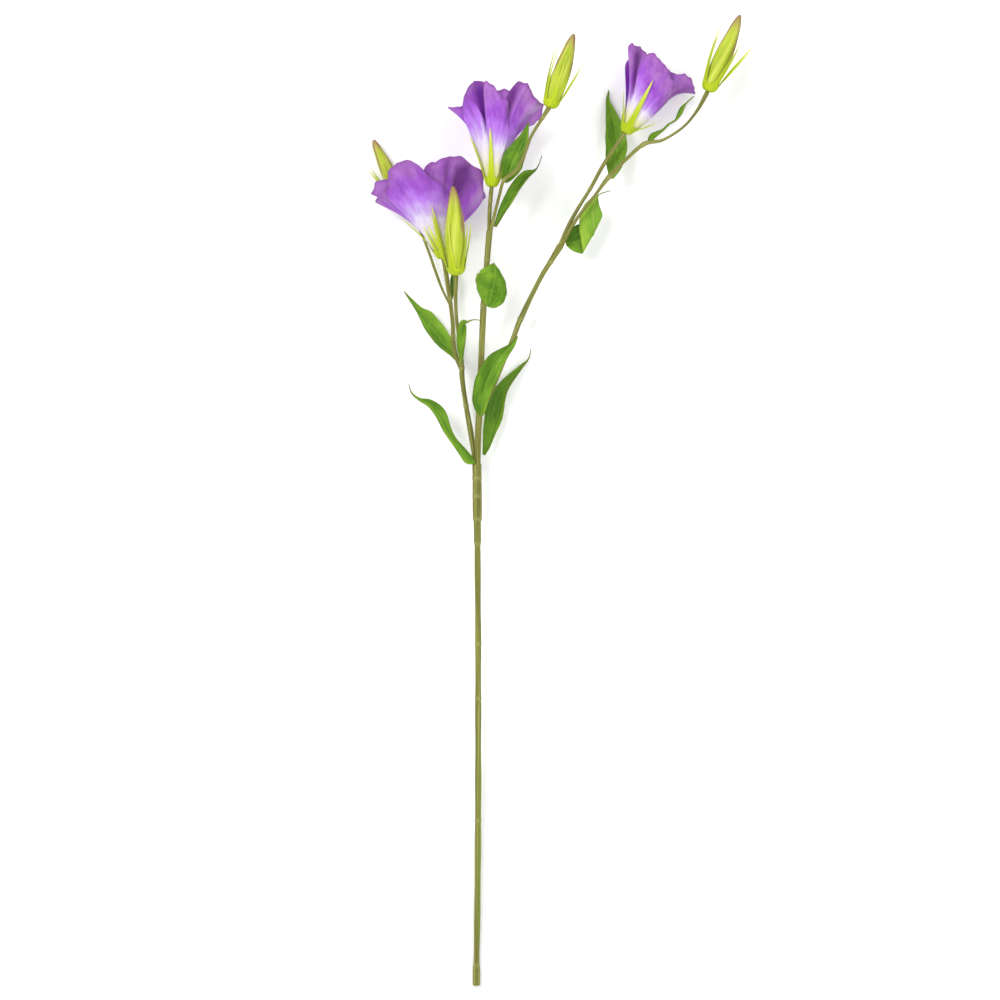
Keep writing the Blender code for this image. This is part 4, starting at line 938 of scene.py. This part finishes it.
def build_leaf(name):
    """One leaf: a blade folded a little along its midrib, with raised veins and a wavy margin."""
    table = spline(LEAVES[name], LEAF_ROWS)
    places, widths, roll = table[:, :3], np.maximum(table[:, 3:5], 0.3), np.radians(table[:, 5])
    level, upper = travel(places)
    across = np.cos(roll)[:, None] * level + np.sin(roll)[:, None] * upper
    normal = np.cos(roll)[:, None] * upper - np.sin(roll)[:, None] * level
    seed = places[0, 0] * 0.37 + len(name)
    v = np.linspace(-1, 1, LEAF_COLUMNS)[None, :]
    t = np.linspace(0, 1, LEAF_ROWS)[:, None]
    uneven = 1 + 0.02 * np.sin(t * 27 + seed + 2 * np.sign(v)) * np.abs(v)
    half = np.where(v < 0, widths[:, :1], widths[:, 1:]) * uneven
    doubled = name == DOUBLED_LEAF
    fold = DOUBLED_LEAF_FOLD if doubled else LEAF_FOLD
    broad = np.clip(half / 8, 0, 1)
    wave = 0.9 * broad * v**2 * np.sin(t * 17 + seed + 1.6 * v) * (0.3 if doubled else 1)
    vein = np.exp(-(((np.abs(v) - 0.42) / 0.045) ** 2)) + 0.7 * np.exp(-(((np.abs(v) - 0.72) / 0.04) ** 2))
    vein = vein * smooth(0.02, 0.2, t) * smooth(0.97, 0.7, t)
    midrib = np.exp(-((v * half / 0.42) ** 2)) * smooth(1.0, 0.75, t)
    lift = np.abs(v) * half * math.sin(fold) + wave - 0.40 * midrib * broad - 0.08 * vein * broad
    points = places[:, None] + (v * half * math.cos(fold))[..., None] * across[:, None]
    points = points + lift[..., None] * normal[:, None]
    if doubled:
        points = doubled_back(points)
    edge = smooth(0.0, 1.0, (np.abs(v) - 1) * half / LEAF_EDGE + 1)
    edge = np.maximum(edge, smooth(0.955, 1.0, t))
    # painted light along one half of the blade
    bright = smooth(-0.2, 0.9, v * (-1 if name in PAINTED_LIGHT_ON_LEFT else 1)) + 0 * t
    floats = {"veins": vein, "midrib": midrib, "edge": edge, "seed": seed, "bright": bright}
    piece = sheet(f"leaf_{name}", points, floats)
    thicken(piece, LEAF_THICKNESS, other_side=1)
    finished(piece, f"leaf_{name}", "leaf", LEAF_UNDER, LEAF_TOP)


for leaf_name in LEAVES:
    build_leaf(leaf_name)


def turned(name, axes, profile, columns=20, lobes=0.0):
    """A smooth solid round an axis from (height, radius) points. lobes pinches the top into two."""
    rows = np.array(profile, float)
    t = np.linspace(0, 1, 40)
    known = np.linspace(0, 1, len(rows))
    height = along_table(known, rows[:, 0], t)
    radius = np.maximum(along_table(known, rows[:, 1], t), 0.02)
    turn = np.linspace(0, math.tau, columns, endpoint=False)
    pinch = 1 - lobes * np.sin(turn)[None, :] ** 2 * smooth(0.7, 0.85, t)[:, None]
    reach = radius[:, None] * pinch
    points = from_frame(axes, reach * np.cos(turn), reach * np.sin(turn), height[:, None] + 0 * reach)
    return sheet(name, points, {"pale": 0.0, "mauve": 0.0, "seed": 1.0}, wrap=True, capped=True)


# The inner parts as (height, radius) points along their own axes.
PISTIL = [
    (3, 1.0), (5, 1.6), (9, 2.0), (13, 1.2), (15, 0.7), (22, 0.6), (24, 0.8), (25.5, 2.2), (27.5, 2.4),
    (28.5, 0.1),
]
STAMEN_CUP = [(2.4, 1.0), (2.8, 2.6), (3.6, 3.0), (4.6, 2.7)]
FILAMENT = [(0, 0.42), (6, 0.34), (13, 0.3), (17, 0.25)]
ANTHER = [(-2.2, 0.1), (-1.8, 0.9), (0.2, 1.1), (1.8, 0.9), (2.4, 0.1)]
ANTHER_AT = 16.6


def build_heart(name):
    """A bloom's pistil with its two-lobed stigma, and its ring of five stamens."""
    right, upper, axis, foot = axes = bloom_axes(BLOOMS[name])
    finished(turned(f"pistil_{name}", axes, PISTIL, lobes=0.5), f"pistil_{name}", "heart", HEART)
    parts = [turned("stamen_cup", axes, STAMEN_CUP)]
    for k in range(5):
        turn = math.tau / 5 * (k + 0.3)
        side = math.cos(turn) * right + math.sin(turn) * upper * 0.9
        start = foot + 2.4 * side + 4 * axis
        way = unit(axis + 0.16 * side)
        parts.append(turned("filament", frame_along(way, start), FILAMENT, 10))
        head = frame_along(unit(way + 0.5 * side), start + ANTHER_AT * way)
        anther = turned("anther", head, ANTHER, 12)
        anther.data.materials.append(HEART)
        anther.data.materials.append(POLLEN)
        anther.data.polygons.foreach_set("material_index", [1] * len(anther.data.polygons))
        parts.append(anther)
    for part in parts:
        if not part.data.materials:
            part.data.materials.append(HEART)
    finished(joined(f"stamens_{name}", parts), f"stamens_{name}", "heart")


for bloom_name in BLOOMS:
    build_heart(bloom_name)


def paper_surface():
    """A pale seamless surface with a faint tooth."""
    s = Surface("pale surface", 0.9)
    tooth = s.noise(s.place(), 700.0, 3.0, 0.6)
    clouds = s.noise(s.place(), 3.0, 2.0)
    colour = s.mix(s.scaled(clouds, 0.0, 1.0), (0.93, 0.93, 0.93), (0.97, 0.97, 0.97))
    return s.finish(colour, s.bump(tooth, 0.06, 0.3), s.scaled(tooth, 0.85, 0.95))


FLOOR_REACH = 14.0
FLOOR_CELLS = 24
CAMERA_PLACE = (-0.0462, 0.00145, 4.587)
AIM = Vector((0, 0.2, 0))
# Each lamp: its name, place, size and power.
LAMPS = [
    ("key", (-1.6, 1.4, 2.6), 1.4, 72.0),
    ("fill", (1.9, 0.4, 2.4), 1.8, 30.0),
    ("low", (0.2, -2.4, 1.8), 1.6, 22.0),
]


def build_stage():
    """A wide floor, soft studio light from all round and a camera straight above."""
    across = np.linspace(-FLOOR_REACH, FLOOR_REACH, FLOOR_CELLS)
    grid = np.stack(np.meshgrid(across, across), axis=-1)
    verts = [(x, y, 0.0) for x, y in grid.reshape(-1, 2)]
    index = np.arange(FLOOR_CELLS**2).reshape(FLOOR_CELLS, FLOOR_CELLS)
    corners = [index[:-1, :-1], index[:-1, 1:], index[1:, 1:], index[1:, :-1]]
    faces = np.stack(corners, axis=-1).reshape(-1, 4)
    mesh = bpy.data.meshes.new("floor")
    mesh.from_pydata(verts, [], [tuple(int(i) for i in face) for face in faces])
    mesh.materials.append(paper_surface())
    floor = bpy.data.objects.new("floor", mesh)
    bpy.context.scene.collection.objects.link(floor)

    scene = bpy.context.scene
    world = bpy.data.worlds.new("studio")
    scene.world = world
    world.use_nodes = True
    background = world.node_tree.nodes["Background"]
    background.inputs["Color"].default_value = (1.0, 1.0, 1.0, 1.0)
    background.inputs["Strength"].default_value = 0.70
    for name, place, size, power in LAMPS:
        data = bpy.data.lights.new(name, "AREA")
        data.energy = power
        data.size = size
        lamp = bpy.data.objects.new(name, data)
        lamp.location = place
        lamp.rotation_euler = (AIM - Vector(place)).to_track_quat("-Z", "Y").to_euler()
        scene.collection.objects.link(lamp)

    camera_data = bpy.data.cameras.new("camera")
    camera_data.lens = 200.0
    camera_data.sensor_width = 36.0
    camera_data.clip_end = 60.0
    camera = bpy.data.objects.new("camera", camera_data)
    camera.location = CAMERA_PLACE
    scene.collection.objects.link(camera)
    scene.camera = camera
    scene.view_settings.view_transform = "Standard"


build_stage()
